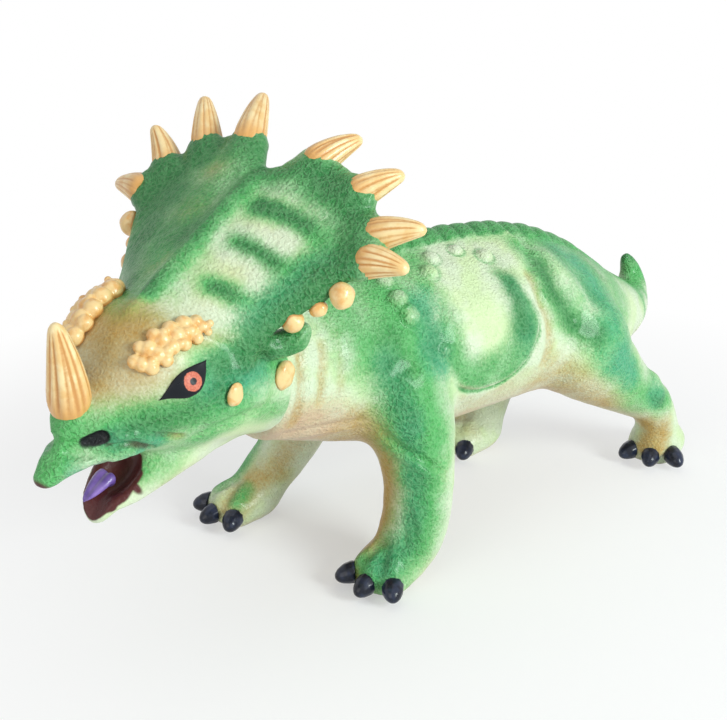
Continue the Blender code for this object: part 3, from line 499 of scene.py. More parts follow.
NECK_FRONT = -102.4
neck_edge = 1 - step(along, NECK_FRONT - 1, NECK_FRONT + 6)
body.at -= body.out * (neck_edge * step(body.at[:, 2], 60, 80) * 1.1)[:, None]
unevenness = lumps(body.at, 9.0) * 0.28 + lumps(body.at, 4.0, 7.0) * 0.13
body.at += body.out * unevenness[:, None]
body.outward()
body.at[:, 2] = np.maximum(body.at[:, 2], 0.05)
body_form = body.keep()
print("feet and neck sculpted")

# %% [markdown]
# ## Cutting the castings apart
# The flanges are flat, so a leg is what lies inside a round bar that starts at its flange plane.
# The torso loses those bars, gets the neck plug with its bead, and the room for its filling.

# %% Split the body into its castings
FLANGES = {"front_left_leg": ((29.7, -16.4, 67.5), (0.60, 0.0, -0.80), 89.5, 157.0),
           "front_right_leg": ((-60.3, -25.4, 58.1), (-0.45, -0.20, -0.87), 75.4, 157.0),
           "hind_left_leg": ((21.2, 153.8, 54.2), (0.25, 0.55, -0.80), 47.1, 157.0),
           "hind_right_leg": ((-57.3, 111.8, 48.0), (-0.30, 0.0, -0.95), 51.8, 157.0),
           "tail": ((-20.5, 185.6, 82.4), (-0.246, 0.958, -0.147), 40.8, 160.0)}
SEAM = 0.03
castings = {}
torso_form = body_form.copy()
for name, (place, way, reach, length) in FLANGES.items():
    torso_form = carved(torso_form, round_bar(place, way, length, reach))
    start = Vector(place) + Vector(way).normalized() * SEAM
    castings[name] = biggest_body(carved(body_form.copy(), round_bar(start, way, length, reach), "INTERSECT"))
    print(name, "casting:", len(castings[name].polygons), "faces")

NECK_PLACE = Vector((1.7, NECK_FRONT, 122.0))
AHEAD = Vector((0, -1, 0))
torso_form = carved(torso_form, round_bar(NECK_PLACE, AHEAD, 60.0, 50.0))
torso_form = carved(torso_form, round_bar(NECK_PLACE - AHEAD * 7.0, AHEAD, 27.0, 17.0), "UNION")
torso_form = carved(torso_form, round_bar(NECK_PLACE + AHEAD * 6.5, AHEAD, 6.0, 19.5), "UNION")
torso_form = carved(torso_form, round_bar(NECK_PLACE - AHEAD * 36.0, AHEAD, 90.0, 13.5))
torso_form = carved(torso_form, closed_copy(["torso_stuffing"], 0.3))
torso_form = carved(torso_form, closed_copy(["belly_stopper"], 0.3))
castings["torso"] = biggest_body(torso_form)
print("torso casting:", len(castings["torso"].polygons), "faces")

# %% [markdown]
# ## The head's skin
# The head is sculpted in its own axes: across to its left, back along the skull, and up. Its left
# lobe is the one that the photograph shows in full. Balls at the frill's lower corners make its
# flaps. A wedge opens the gap between the jaws, and round bars take away the notch above the beak
# and the sides of the snout. A second remesh then evens the edges that the carving left.

# %% Remesh and smooth the head
HEAD_GRAIN = 0.95
FLAP_BALLS = [((38, -29, 35), 6.6), ((41.5, -24.5, 36), 6.4), ((44.5, -20.5, 37.5), 6.0),
              ((46, -18.5, 40.5), 4.4)]
HEAD_AXES = (Matrix.Translation(NECK_PLACE * MM)
             @ Matrix.Rotation(math.radians(18), 4, "Z") @ Matrix.Rotation(math.radians(6), 4, "Y"))
head_bm = closed_copy(["head", "head_stuffing"], 0.25)
head_bm.from_mesh(mesh_of(round_bar(NECK_PLACE - AHEAD * 0.5, AHEAD, 24.0, 21.0), "socket"))
for name in ("eye_left", "eye_right"):
    head_bm.from_mesh(mesh_of(closed_copy([name], 0.2), name))
for sign in (1, -1):
    for (x, y, z), radius in FLAP_BALLS:
        spot = HEAD_AXES @ (Vector((x * sign, y, z)) * MM)
        bmesh.ops.create_icosphere(head_bm, subdivisions=3, radius=radius * MM,
                                   matrix=Matrix.Translation(spot))


def mouth_wedge():
    """The gap between the jaws, open at both sides; its floor falls towards the jaw's tip."""
    bm = bmesh.new()
    bmesh.ops.create_cube(bm, size=2.0)
    for vert in bm.verts:
        x, y, z = vert.co
        floor, roof = (-39.5, -15.5) if y < 0 else (-16.9, -15.0)
        place = Vector((x * (20 if y < 0 else 11.5), -109.0 if y < 0 else -77.0, roof if z > 0 else floor))
        vert.co = HEAD_AXES @ (place * MM)
    return bm


def head_bar(start, way, length, radius):
    """A round bar in the head's own axes."""
    start = (HEAD_AXES @ (Vector(start) * MM)) / MM
    return round_bar(start, HEAD_AXES.to_3x3() @ Vector(way), length, radius)


block = carved(even_net(head_bm, HEAD_GRAIN), mouth_wedge())
for y, z, radius in ((-120.0, 10.0, 7.0), (-125.5, 20.0, 9.5)):
    block = carved(block, head_bar((-20, y, z), (1, 0, 0), 40, radius))
for side in (1, -1):
    block = carved(block, head_bar((side * 21.0, -122, -14), (0, 0, 1), 22, 16.5))
    block = carved(block, head_bar((side * 56.6, -144.3, 3), (0, 0, 1), 23, 61.5))
head_bm = bmesh.new()
head_bm.from_mesh(block)
head = Clay(even_net(head_bm, HEAD_GRAIN), HEAD_AXES)
head.smooth(34, 26)
print("head skin:", len(head.at), "points")

# %% [markdown]
# ## Ridge, brow, lips and nostrils
# The same kind of drawn lines shape the face. A line on the left is repeated on the right by turning
# the sign of its first number.

# %% Sculpt the head
def other_side(line):
    """The same line on the head's right side."""
    return [(-x, y, z) for x, y, z in line]


RIDGE = [(0, -73, 53), (0, -59, 58), (0, -44, 66), (0, -26, 76), (0, -7, 87), (0, 6, 93)]
RIM = [(8, 7, 94), (18, 11, 98), (30, 13, 96), (42, 12, 91), (53, 7, 83), (58, -2, 76), (57, -10, 68),
       (51, -20, 58), (45, -28, 50), (39, -36, 43)]
FACE_LINES = [([(24, -56, 47), (32, -46, 44), (40, -37, 39), (41, -30, 36)], 5.0, 1.5),
              ([(21, -92, 31), (27, -86, 34), (32, -77, 38), (34, -68, 41), (35, -58, 42)], 4.5, 1.3),
              ([(24, -90, 22), (29, -82, 24), (33, -76, 30), (34, -68, 35)], 6.0, -1.0),
              ([(17, -99, 10.5), (18.5, -97, 12), (21, -92, 12), (23, -85, 8)], 3.0, 2.0),
              ([(16, -100, 6.5), (19, -95, 7.5), (20, -91, 7), (20, -84, 3), (19, -80, 0)], 2.6, -2.4),
              ([(15, -97, 0), (17.5, -90, 2), (18, -84, -2)], 3.6, 1.6),
              ([(25, -83, 9.5), (26, -78, 7.5), (27, -72, 5.5)], 3.0, -1.6),
              ([(24, -88, 12), (27, -80, 14), (30, -72, 13)], 4.0, 1.0),
              ([(36, -62, 12), (40, -48, 14), (41, -34, 14)], 6.0, 1.2),
              ([(30, -64, 4), (35, -52, 8), (38, -38, 8)], 5.0, -1.0),
              ([(39, -40, 40), (43, -30, 38), (46, -22, 36)], 4.0, -1.2),
              ([(12, -77, -20), (11.5, -74, -26), (10, -71, -31)], 2.2, -0.9)]
SKULL_MIDDLE = np.array(HEAD_AXES @ Vector((0, -0.02, 0.05))) / MM
SPIKES = ["frill_spike_%s_%d" % (side, n) for side in ("left", "right") for n in (1, 2, 3, 4)]
SCALLOPS = [(29, 17, 96), (49, 14, 86), (59, 5, 75), (9, 13, 94), (60, -7, 64)]

head.push(RIDGE, 5.0, 1.2)
head.pull([(-4, -121, 4), (4, -121, 4)], 9.0, (0, 1.5, -1.5))
head.pull([(0, -92, -34), (0, -96, -29)], 11.0, (0, 0.5, -5.0))
head.outward()
for line, reach, height in FACE_LINES:
    for one in (line, other_side(line)):
        head.push(one, reach, height)
on_frill = step(head.at[:, 2] + head.at[:, 1] * 0.6, 30, 45)
TURN = np.array(HEAD_AXES)[:3, :3]
for name in SPIKES:
    base, tip = node_axis(name, SKULL_MIDDLE)
    foot = (base - np.array(NECK_PLACE)) @ TURN
    way = (tip - base) @ TURN / np.linalg.norm(tip - base)
    head.push([foot], 11.5, 2.2, flat=0.4)
    head.pull([foot], 13.0, way * 5.5, flat=0.5)
head.outward()
for sign in (1, -1):
    lobe = 1.0 if sign > 0 else 0.94
    for x, y, z in SCALLOPS:
        head.push([(x * sign * lobe, y, z)], 5.5, -1.0)
    rim = [(x * sign * lobe, y, z) for x, y, z in RIM]
    head.push(rim, 9.0, 0.7)
    head.push([(sign * 9.6, -106.0, 8.8), (sign * 13.0, -101.8, 11.4)], 4.0, -2.2, flat=0.3)
    head.push([(sign * 10, -104, 16), (sign * 15, -100, 17), (sign * 19, -98, 13)], 4.0, 0.9)
    head.push([(sign * 5, -111, 6), (sign * 9, -107, 5), (sign * 13, -102, 4)], 4.5, -1.3)
    head.push([(sign * 4, -116, 0), (sign * 9, -108, -2)], 6.0, 0.6)
head.push([(-6, -110, 9), (0, -113, 9), (6, -110, 9)], 5.0, -1.2)
head.push([(0, -103, 17)], 11.0, 1.2, flat=0.7)
rough = lumps(head.at, 3.2, 3.0) * 0.34 * on_frill + lumps(head.at, 8.0, 5.0) * 0.22
head.at += head.out * rough[:, None]
head.outward()
head_form = head.keep()
print("head sculpted:", len(FACE_LINES), "lines on each side")

# %% [markdown]
# ## The socket in the head
# The head snaps on the neck plug, so its rear is cut flat and a socket with a lip is bored. The
# filling needs its room here too.

# %% Bore the head
head_form = carved(head_form, round_bar(NECK_PLACE + AHEAD * 0.5, -AHEAD, 30.5, 48.0))
head_form = carved(head_form, round_bar(NECK_PLACE - AHEAD * 2.0, AHEAD, 22.0, 17.5))
head_form = carved(head_form, round_bar(NECK_PLACE + AHEAD * 6.0, AHEAD, 15.0, 20.5))
head_form = carved(head_form, closed_copy(["head_stuffing"], 0.3))
castings["head"] = biggest_body(head_form)
print("head casting:", len(castings["head"].polygons), "faces")

# %% [markdown]
# ## Airbrushed paint as masks
# A painter sprays green, teal, brown and maroon over cream vinyl in soft strokes. Each stroke here
# is a line with a reach and a strength, and the strokes of one colour add up in a mask that the
# material reads. Strokes depend on places only, so they run on across the seams between castings.
# Some strokes are painted light: painted shade in creases and under the chest, thigh and jaw, pink
# painted shade and reflected glow on the underside, and teal that is paint and painted highlight
# on the legs and shoulders. The bumps' paler tops and darker feet and the darker grooves between
# scutes are painted light too.

# %% The spray gun
COATS = ("green", "dark", "teal", "brown", "pink", "maroon", "black", "grain")
HEAD_RIDGE = [(1, -62, 58), (0, -44, 66), (0, -7, 87), (0, 10, 94)]
BODY_STROKES = [
    ("green", [(MIDDLE, -70, 146), (MIDDLE, -10, 157)], 26, 1.0),
    ("green", [(MIDDLE, 0, 157), (MIDDLE, 60, 155), (MIDDLE, 90, 149)], 17, 0.7),
    ("green", [(MIDDLE, 94, 147), (MIDDLE, 110, 140), (MIDDLE, 161, 115), (-20, 190, 98)], 26, 1.0),
    ("green", [(-4, -62, 146), (12, -54, 142), (24, -48, 130)], 30, 0.9),
    ("green", [(3, -26, 151), (16, -22, 144), (26, -22, 132)], 32, 0.95),
    ("green", [(-6, 8, 155), (8, 0, 149), (18, -2, 143)], 16, 0.6),
    ("green", [(29, -24, 128), (34, -26, 112), (37, -27, 98), (41, -26, 84)], 34, 1.0),
    ("dark", [(26, -34, 128), (31, -36, 114), (36, -34, 100)], 20, 0.55),
    ("dark", [(27, -8, 134), (32, -8, 120)], 14, 0.4),
    # Teal on the shoulder: blue-green paint that also serves as a painted highlight.
    ("teal", [(20, -8, 141), (30, -9, 126), (34, -10, 112)], 15, 0.75),
    ("teal", [(30, -38, 120), (36, -36, 106), (41, -32, 90)], 13, 0.7),
    ("green", [(4, 78, 148), (14, 78, 141), (24, 77, 130), (30, 84, 116), (33, 95, 106),
               (38, 106, 101)], 17, 0.9),
    ("dark", [(12, 80, 141), (24, 79, 129), (30, 88, 112), (37, 103, 102)], 12, 0.8),
    ("green", [(-2, 104, 144), (10, 114, 134), (24, 119, 118), (37, 118, 100)], 34, 0.9),
    ("dark", [(2, 98, 143), (14, 104, 133), (26, 112, 118)], 10, 0.25),
    ("teal", [(6, 110, 138), (22, 118, 120), (37, 116, 103), (42, 120, 88)], 25, 0.55),
    ("green", [(-8, 138, 128), (6, 147, 112), (20, 142, 98)], 26, 0.8),
    ("dark", [(-6, 132, 130), (8, 134, 122)], 11, 0.35),
    ("green", [(39, 120, 84), (39, 132, 70), (34, 144, 58)], 22, 0.8),
    ("teal", [(40, 120, 86), (40, 132, 70)], 14, 0.6),
    ("green", [(24, 92, 124), (28, 92, 112)], 14, 0.4),
    ("green", [(27, 4, 130), (30, 2, 118), (31, 10, 104)], 12, 0.5),
    ("teal", [(22, 50, 138), (27, 51, 126), (30, 50, 114)], 9, 0.7),
    # Pink on the underside: partly the vinyl's pinkish tone, partly painted shade and reflected glow.
    ("pink", [(MIDDLE, -96, 86), (MIDDLE, -50, 78), (MIDDLE, 10, 58), (MIDDLE, 80, 62),
              (MIDDLE, 130, 66)], 52, 0.9),
    # Painted shade: brown on the chest between the front legs, in the neck's creases, in the thigh's fold and
    # under the thigh.
    ("brown", [(34, -46, 84), (26, -50, 88), (20, -52, 82), (14, -54, 78)], 22, 0.7),
    ("brown", [(26, -87, 141), (32, -90, 129), (33, -91, 115), (30, -93, 100)], 5.5, 0.6),
    ("brown", [(25, -73, 135), (30, -77, 123), (31, -78, 110)], 5.5, 0.5),
    ("brown", [(20, -62, 136), (28, -64, 124), (31, -66, 112)], 4.5, 0.35),
    ("brown", [(18, 67, 138), (27, 67, 127), (30, 70, 116), (32, 71, 102), (30, 70, 92)], 6, 0.6),
    ("brown", [(24, 78, 84), (27, 90, 76), (29, 104, 64), (28, 120, 54)], 24, 0.55),
    # More pink under the neck: painted shade and reflected glow.
    ("pink", [(30, -92, 108), (30, -84, 104), (30, -70, 100)], 18, 0.6),
    ("pink", [(20, -96, 98), (22, -74, 90), (26, -54, 88)], 18, 0.8),
]
LIMB_STROKES = [
    ("green", [(38, -29, 105), (42, -28, 85), (46, -27, 64), (48, -28, 44), (48, -34, 28),
               (44, -45, 18), (42, -52, 14)], 24, 1.0),
    ("green", [(36, -48, 26), (40, -55, 15), (30, -54, 16)], 13, 0.95),
    ("dark", [(42, -33, 88), (46, -31, 68), (48, -31, 48), (47, -36, 28), (43, -48, 18)], 14, 0.5),
    # Teal on the leg: blue-green paint that also serves as a painted highlight.
    ("teal", [(43, -34, 84), (46, -34, 62), (48, -35, 44), (46, -42, 26), (42, -50, 18)], 12, 0.75),
    # Brown on the leg's inner side: partly paint, partly painted shade.
    ("brown", [(30, -41, 80), (29, -38, 61), (27, -38, 44), (26, -42, 28), (24, -50, 16),
               (30, -58, 8)], 19, 1.0),
    ("brown", [(20, -38, 70), (18, -30, 50), (18, -30, 30)], 16, 0.6),
    ("brown", [(46, -46, 24), (45, -52, 12)], 5, 0.5),
    ("green", [(18, -52, 18), (20, -57, 14)], 8, 0.7),
    ("green", [(-72, -46, 46), (-77, -56, 27), (-80, -68, 18)], 11, 0.9),
    ("brown", [(-74, -46, 44), (-79, -58, 24)], 6, 0.4),
    ("green", [(-62, -62, 20), (-59, -70, 16)], 8, 0.7),
    ("green", [(-62, -22, 104), (-72, -22, 90), (-78, -23, 74), (-80, -26, 58), (-81, -33, 40),
               (-84, -46, 24)], 22, 0.95),
    ("teal", [(-77, -24, 80), (-80, -27, 58), (-82, -36, 38)], 12, 0.7),
    ("brown", [(-59, -76, 10), (-62, -62, 22), (-55, -47, 31), (-48, -36, 50)], 14, 0.6),
    ("brown", [(-78, -80, 9), (-63, -82, 9)], 7, 0.6),
    ("green", [(28, 156, 58), (34, 152, 52), (37, 160, 50), (33, 168, 46)], 17, 0.95),
    ("teal", [(32, 156, 54), (37, 160, 50)], 12, 0.8),
    ("dark", [(34, 158, 50), (36, 163, 46)], 9, 0.5),
    ("brown", [(25, 162, 12), (29, 166, 22), (27, 160, 33)], 10, 0.85),
    ("brown", [(37, 167, 12), (34, 172, 22), (31, 170, 33)], 10, 0.85),
    ("brown", [(20, 156, 24), (20, 150, 34)], 10, 0.5),
    ("green", [(-66, 104, 100), (-76, 109, 82), (-80, 113, 62), (-76, 115, 42),
               (-72, 112, 26)], 23, 0.95),
    ("teal", [(-78, 112, 74), (-79, 114, 52)], 14, 0.7),
    ("brown", [(-50, 92, 12), (-64, 92, 12), (-57, 96, 26)], 11, 0.6),
    ("brown", [(-44, 92, 30), (-46, 96, 44)], 16, 0.4),
    ("green", [(-17, 182, 106), (-22, 200, 100), (-30, 214, 100), (-34, 214, 108),
               (-33, 203, 114), (-32, 194, 116)], 20, 1.0),
    ("dark", [(-38, 218, 98), (-38, 214, 108), (-33, 203, 116), (-32, 193, 118)], 14, 0.9),
    ("green", [(-12, 188, 98), (-6, 192, 86), (-10, 190, 70)], 6.0, 0.8),
    ("green", [(-22, 204, 100), (-15, 208, 90), (-16, 206, 74)], 6.0, 0.85),
    ("green", [(-29, 214, 100), (-22, 219, 92), (-23, 216, 78)], 6.0, 0.9),
]
HEAD_STROKES = [
    ("both", "green", HEAD_RIDGE, 8.5, 1.0), ("both", "dark", HEAD_RIDGE, 6, 0.85),
    ("left", "green", RIM[2:], 27, 1.0), ("left", "dark", RIM[2:], 21, 0.95),
    ("left", "green", RIM[:3], 17, 1.0), ("left", "dark", RIM[:3], 12, 0.7),
    ("left", "green", [(48, -6, 74), (47, -16, 66), (42, -26, 56)], 16, 0.8),
    ("left", "green", [(12, -10, 85), (20, -9, 85), (30, -7, 83), (39, -6, 80)], 10, 1.0),
    ("left", "dark", [(14, -9, 85), (21, -8, 85), (30, -6, 83), (36, -5, 81)], 7.5, 0.95),
    ("left", "green", [(15, -27, 75), (24, -24, 72), (33, -23, 69), (42, -21, 66)], 10, 1.0),
    ("left", "dark", [(18, -26, 74), (25, -24, 72), (34, -23, 69)], 7.5, 0.95),
    ("left", "green", [(18, -45, 61), (24, -42, 59), (33, -38, 55)], 9, 0.9),
    ("left", "dark", [(20, -44, 60), (27, -41, 58)], 6, 0.7),
    ("left", "brown", [(30, -16, 76), (26, -33, 66), (20, -50, 58)], 26, 0.14),
    ("both", "brown", [(2, -72, 53), (12, -78, 46), (22, -84, 34)], 20, 0.45),
    ("left", "teal", [(55, -12, 66), (49, -20, 60), (43, -29, 54), (38, -37, 48)], 18, 0.8),
    ("right", "green", [(-54, -4, 76), (-46, 6, 85), (-30, 8, 93), (-15, 6, 94)], 50, 1.0),
    ("right", "green", [(-12, -54, 60), (-22, -30, 70), (-34, -28, 62)], 36, 1.0),
    ("right", "green", [(-10, -30, 72), (-20, -10, 84)], 26, 0.9),
    ("right", "dark", [(-56, -8, 70), (-52, 4, 80), (-40, 12, 91), (-20, 14, 98)], 38, 1.0),
    ("right", "dark", [(-14, -32, 73), (-30, -20, 72), (-38, -34, 56), (-20, -52, 58)], 26, 0.95),
    ("right", "dark", [(-49, -9, 72), (-29, -5, 83), (-13, -20, 78)], 22, 0.7),
    ("both", "green", [(18, -98, 14), (25, -88, 17), (29, -78, 18), (33, -67, 17),
                       (36, -58, 20)], 20, 1.0),
    ("both", "dark", [(22, -92, 15), (29, -78, 17), (34, -66, 19), (37, -58, 22)], 12, 0.7),
    ("both", "brown", [(26, -84, 17), (33, -70, 20), (37, -60, 22)], 12, 0.35),
    ("both", "green", [(34, -62, 30), (38, -50, 32), (40, -36, 30), (38, -22, 28)], 21, 1.0),
    ("both", "green", [(42, -12, 36), (43, -20, 34)], 20, 1.0),
    ("both", "dark", [(36, -58, 34), (40, -44, 36), (42, -30, 36), (45, -14, 34)], 13, 0.8),
    ("both", "teal", [(35, -60, 27), (38, -48, 29), (40, -38, 28)], 17, 0.85),
    ("both", "green", [(12, -76, -12), (18, -70, -10), (25, -64, -4), (34, -58, 6),
                       (40, -44, 13)], 17, 0.75),
    ("both", "green", [(40, -30, 6), (38, -18, 2), (34, -8, 0)], 14, 0.7),
    ("both", "teal", [(16, -98, 9), (20, -92, 10), (23, -86, 8), (20, -82, 2), (15, -90, -2)], 11, 0.8),
    ("both", "green", [(14, -98, 6), (20, -90, 6), (22, -82, 4)], 14, 0.9),
    # Painted shade in the lip creases behind the mouth's corner: brown, and maroon on top of it.
    ("both", "brown", [(16, -100, 6.5), (19, -95, 7.5), (20, -91, 7), (20, -84, 3),
                       (19, -80, 0)], 3.4, 1.0),
    ("both", "maroon", [(16, -99, 7), (19, -95, 7.5), (20, -91, 6.8), (20, -85, 3.5),
                        (19, -81, 1)], 4.6, 0.66),
    ("both", "brown", [(25, -83, 9.5), (26, -78, 7.5), (27, -72, 5.5)], 4.2, 1.0),
    ("both", "maroon", [(25, -82, 9), (26, -78, 7.5), (27, -74, 6)], 5.0, 0.5),
    ("both", "green", [(5, -111, 14), (6, -117, 4), (5, -122, -4)], 20, 1.0),
    ("both", "green", [(14, -104, 16), (20, -97, 16)], 10, 0.6),
    ("both", "teal", [(8, -112, -3), (10, -105, -5), (12, -98, -6)], 10, 0.8),
    ("both", "maroon", [(2, -124, -9), (3, -120, -12), (5, -115, -11)], 8.5, 0.8),
    ("both", "maroon", [(11.0, -81.5, -20), (14.5, -81, -22.5), (16.5, -80, -25)], 3.6, 0.85),
    ("both", "maroon", [(0, -99, -26), (1, -98, -32)], 5.0, 0.9),
    ("both", "brown", [(6, -92, 34), (6, -80, 46), (14, -88, 34)], 32, 0.55),
    ("both", "brown", [(22, -66, 46), (30, -54, 43), (34, -46, 44)], 7, 0.45),
    ("both", "brown", [(24, -96, 22), (27, -90, 25)], 8, 0.3),
    # Painted underside shade: pink under the jaw.
    ("both", "pink", [(0, -60, -34), (0, -40, -34), (0, -10, -34)], 34, 0.7),
    ("both", "black", [(9.4, -106, 8.6), (12.8, -101.6, 11.2)], 7.0, 1.0),
    # Painted shade: maroon in the groove under the nostril.
    ("both", "maroon", [(7, -110, 5.5), (11, -105, 5), (15, -101, 7.5)], 3.6, 0.42),
]
OLIVE_SPOTS = [(-22, 2, 92), (-18, -19, 79), (-11, -45, 64)]


def spray(coat, points, line, reach, strength):
    """One soft stroke over what the coat already holds."""
    line = np.atleast_2d(np.array(line, float))
    near = np.flatnonzero(((points > line.min(0) - reach) & (points < line.max(0) + reach)).all(1))
    share = strength * (1 - step(off_line(points[near], line), 0.0, reach))
    coat[near] = 1 - (1 - coat[near]) * (1 - share)


def lay(coats, name, share):
    """Paint over a whole region, by a share for each point."""
    coats[name] = 1 - (1 - coats[name]) * (1 - share)


def hold_coats(mesh, coats):
    """Keeps each mask on the mesh, for the materials to read."""
    for name, values in coats.items():
        layer = mesh.attributes.new(name, "FLOAT", "POINT")
        layer.data.foreach_set("value", values.astype(np.float32))


def paint_body(mesh):
    """Sprays a casting of the body; a stroke off the middle is repeated on the right side."""
    clay = Clay(mesh)
    coats = {name: np.zeros(len(clay.at)) for name in COATS}
    for coat, line, reach, strength in BODY_STROKES:
        spray(coats[coat], clay.at, line, reach, strength)
        if any(x != MIDDLE for x, y, z in line[:2]):
            spray(coats[coat], clay.at, mirrored(line), reach, strength)
    for coat, line, reach, strength in LIMB_STROKES:
        spray(coats[coat], clay.at, line, reach, strength)
    y, z = clay.at[:, 1], clay.at[:, 2]
    away = np.abs(clay.at[:, 0] - MIDDLE)
    scutes = (1 - step(away, 8.6, 10.4)) * step(z, 120, 128) * step(y, -66, -45) * (1 - step(y, 100, 150))
    coats["green"] = np.maximum(coats["green"], scutes)
    # Painted shade: the dark coat is stronger in the grooves between scutes.
    scute_groove_shade = 1 - np.sin(np.pi * scute_share(y))
    coats["dark"] = np.maximum(coats["dark"], scutes * (0.35 + 0.3 * scute_groove_shade))
    side = step(away, 14, 28)
    oval = flank_oval(y, z)
    core = 1 - step(np.hypot((y - 25) / 24, (z - 130) / 25), 0.55, 1.20)
    ring = side * (1 - step(oval, 0.86, 1.04)) * (1 - core) * (1 - step(z, 128, 148) * (1 - step(y, 36, 50)))
    lay(coats, "green", 0.85 * ring)
    lay(coats, "dark", 0.25 * ring)
    rear = side * np.exp(-(((y - 49) / 8) ** 2 + ((z - 128) / 17) ** 2))
    lay(coats, "dark", 0.85 * rear)
    lay(coats, "teal", 0.5 * side * np.exp(-(((y - 52) / 8) ** 2 + ((z - 116) / 18) ** 2)))
    # Painted shade in the flank oval's groove: green and dark paint along it.
    groove = side * np.exp(-((oval - 1.035) / 0.035) ** 2) * (1 - step(z, 112, 132)) * step(y, -2, 12)
    lay(coats, "green", 0.9 * groove)
    lay(coats, "dark", 0.45 * groove)
    # Painted light on the bumps: green and dark are cleared from their tops as a painted highlight, and a
    # darker green ring round their feet is painted shade.
    for place, radius, height in BUMPS:
        for spot in ([place], mirrored([place])):
            gap = off_line(clay.at, spot) / (radius + 0.6 * height)
            bump_highlight, foot = 1 - step(gap, 0.45, 0.80), np.exp(-((gap - 0.90) / 0.14) ** 2)
            coats["green"] = np.maximum(coats["green"] * (1 - 0.7 * bump_highlight), 0.60 * foot)
            coats["dark"] = np.maximum(coats["dark"] * (1 - 0.95 * bump_highlight), 0.18 * foot)
    # Painted underside shade and reflected glow: pink on faces that look down.
    under = step(-clay.out[:, 2], 0.1, 0.9)
    lay(coats, "pink", 0.5 * under)
    coats["grain"] = 0.55 + 0.45 * coats["green"]
    hold_coats(mesh, coats)


def paint_head(mesh):
    """Sprays the head in its own axes, then the dark inside of the mouth."""
    clay = Clay(mesh, HEAD_AXES)
    coats = {name: np.zeros(len(clay.at)) for name in COATS}
    for side, coat, line, reach, strength in HEAD_STROKES:
        spray(coats[coat], clay.at, line, reach, strength)
        if side == "both" and any(x != 0 for x, y, z in line):
            spray(coats[coat], clay.at, other_side(line), reach, strength)
    for spot in OLIVE_SPOTS:
        spray(coats["brown"], clay.at, [spot], 18, 0.85)
        for name, strength in (("green", 0.32), ("dark", 0.75)):
            clear = np.zeros(len(clay.at))
            spray(clear, clay.at, [spot], 22, strength)
            coats[name] *= 1 - clear
    scoop = Matrix.Rotation(math.radians(-MOUTH_TILT), 3, "X")
    inside = (clay.at - np.array(MOUTH_MIDDLE)) @ np.array(scoop) / np.array(MOUTH_HALF)
    deep = 1 - step(np.linalg.norm(inside, axis=1), 1.02, 1.10)
    y, z = clay.at[:, 1], clay.at[:, 2]
    rim = 11.0 * np.sqrt(np.clip(1 - ((y + 80) / 18.5) ** 2, 0, 1)) + 0.8
    gap = step(clay.out[:, 2], -0.10, 0.25) * (1 - step(y, -77, -74)) * (1 - step(z, -15, -13.5))
    gap = np.maximum(gap, (y > -92) * (y < -77) * (z < -15.5) * (z > -30) * (np.abs(clay.at[:, 0]) < 9.0))
    gap = gap * (1 - step(np.abs(clay.at[:, 0]) - rim, -0.5, 0.6)) * (y > -104)
    coats["maroon"] = np.maximum(coats["maroon"], clay.evened(gap[:, None], 5)[:, 0])
    coats["maroon"] = np.maximum(coats["maroon"], deep)
    coats["grain"] = 0.28 + 0.72 * np.maximum(coats["green"] ** 1.5, 0.25 * step(clay.at[:, 2], 45, 60))
    coats["grain"] *= 1 - deep
    hold_coats(mesh, coats)


MOUTH_MIDDLE = (0, -83.7, -16.2)
MOUTH_HALF = (10.5, 17.0, 10.0)
MOUTH_TILT = 16.0
for name, mesh in castings.items():
    (paint_head if name == "head" else paint_body)(mesh)
print("masks sprayed:", ", ".join(COATS))

# %% [markdown]
# ## The vinyl
# One material serves all castings. It lays the sprayed colours over cream vinyl, lets noise break
# up the soft edges as an airbrush does, and raises a skin of small worm-like pebbles. The gloss is
# a clear coat over a satin base.

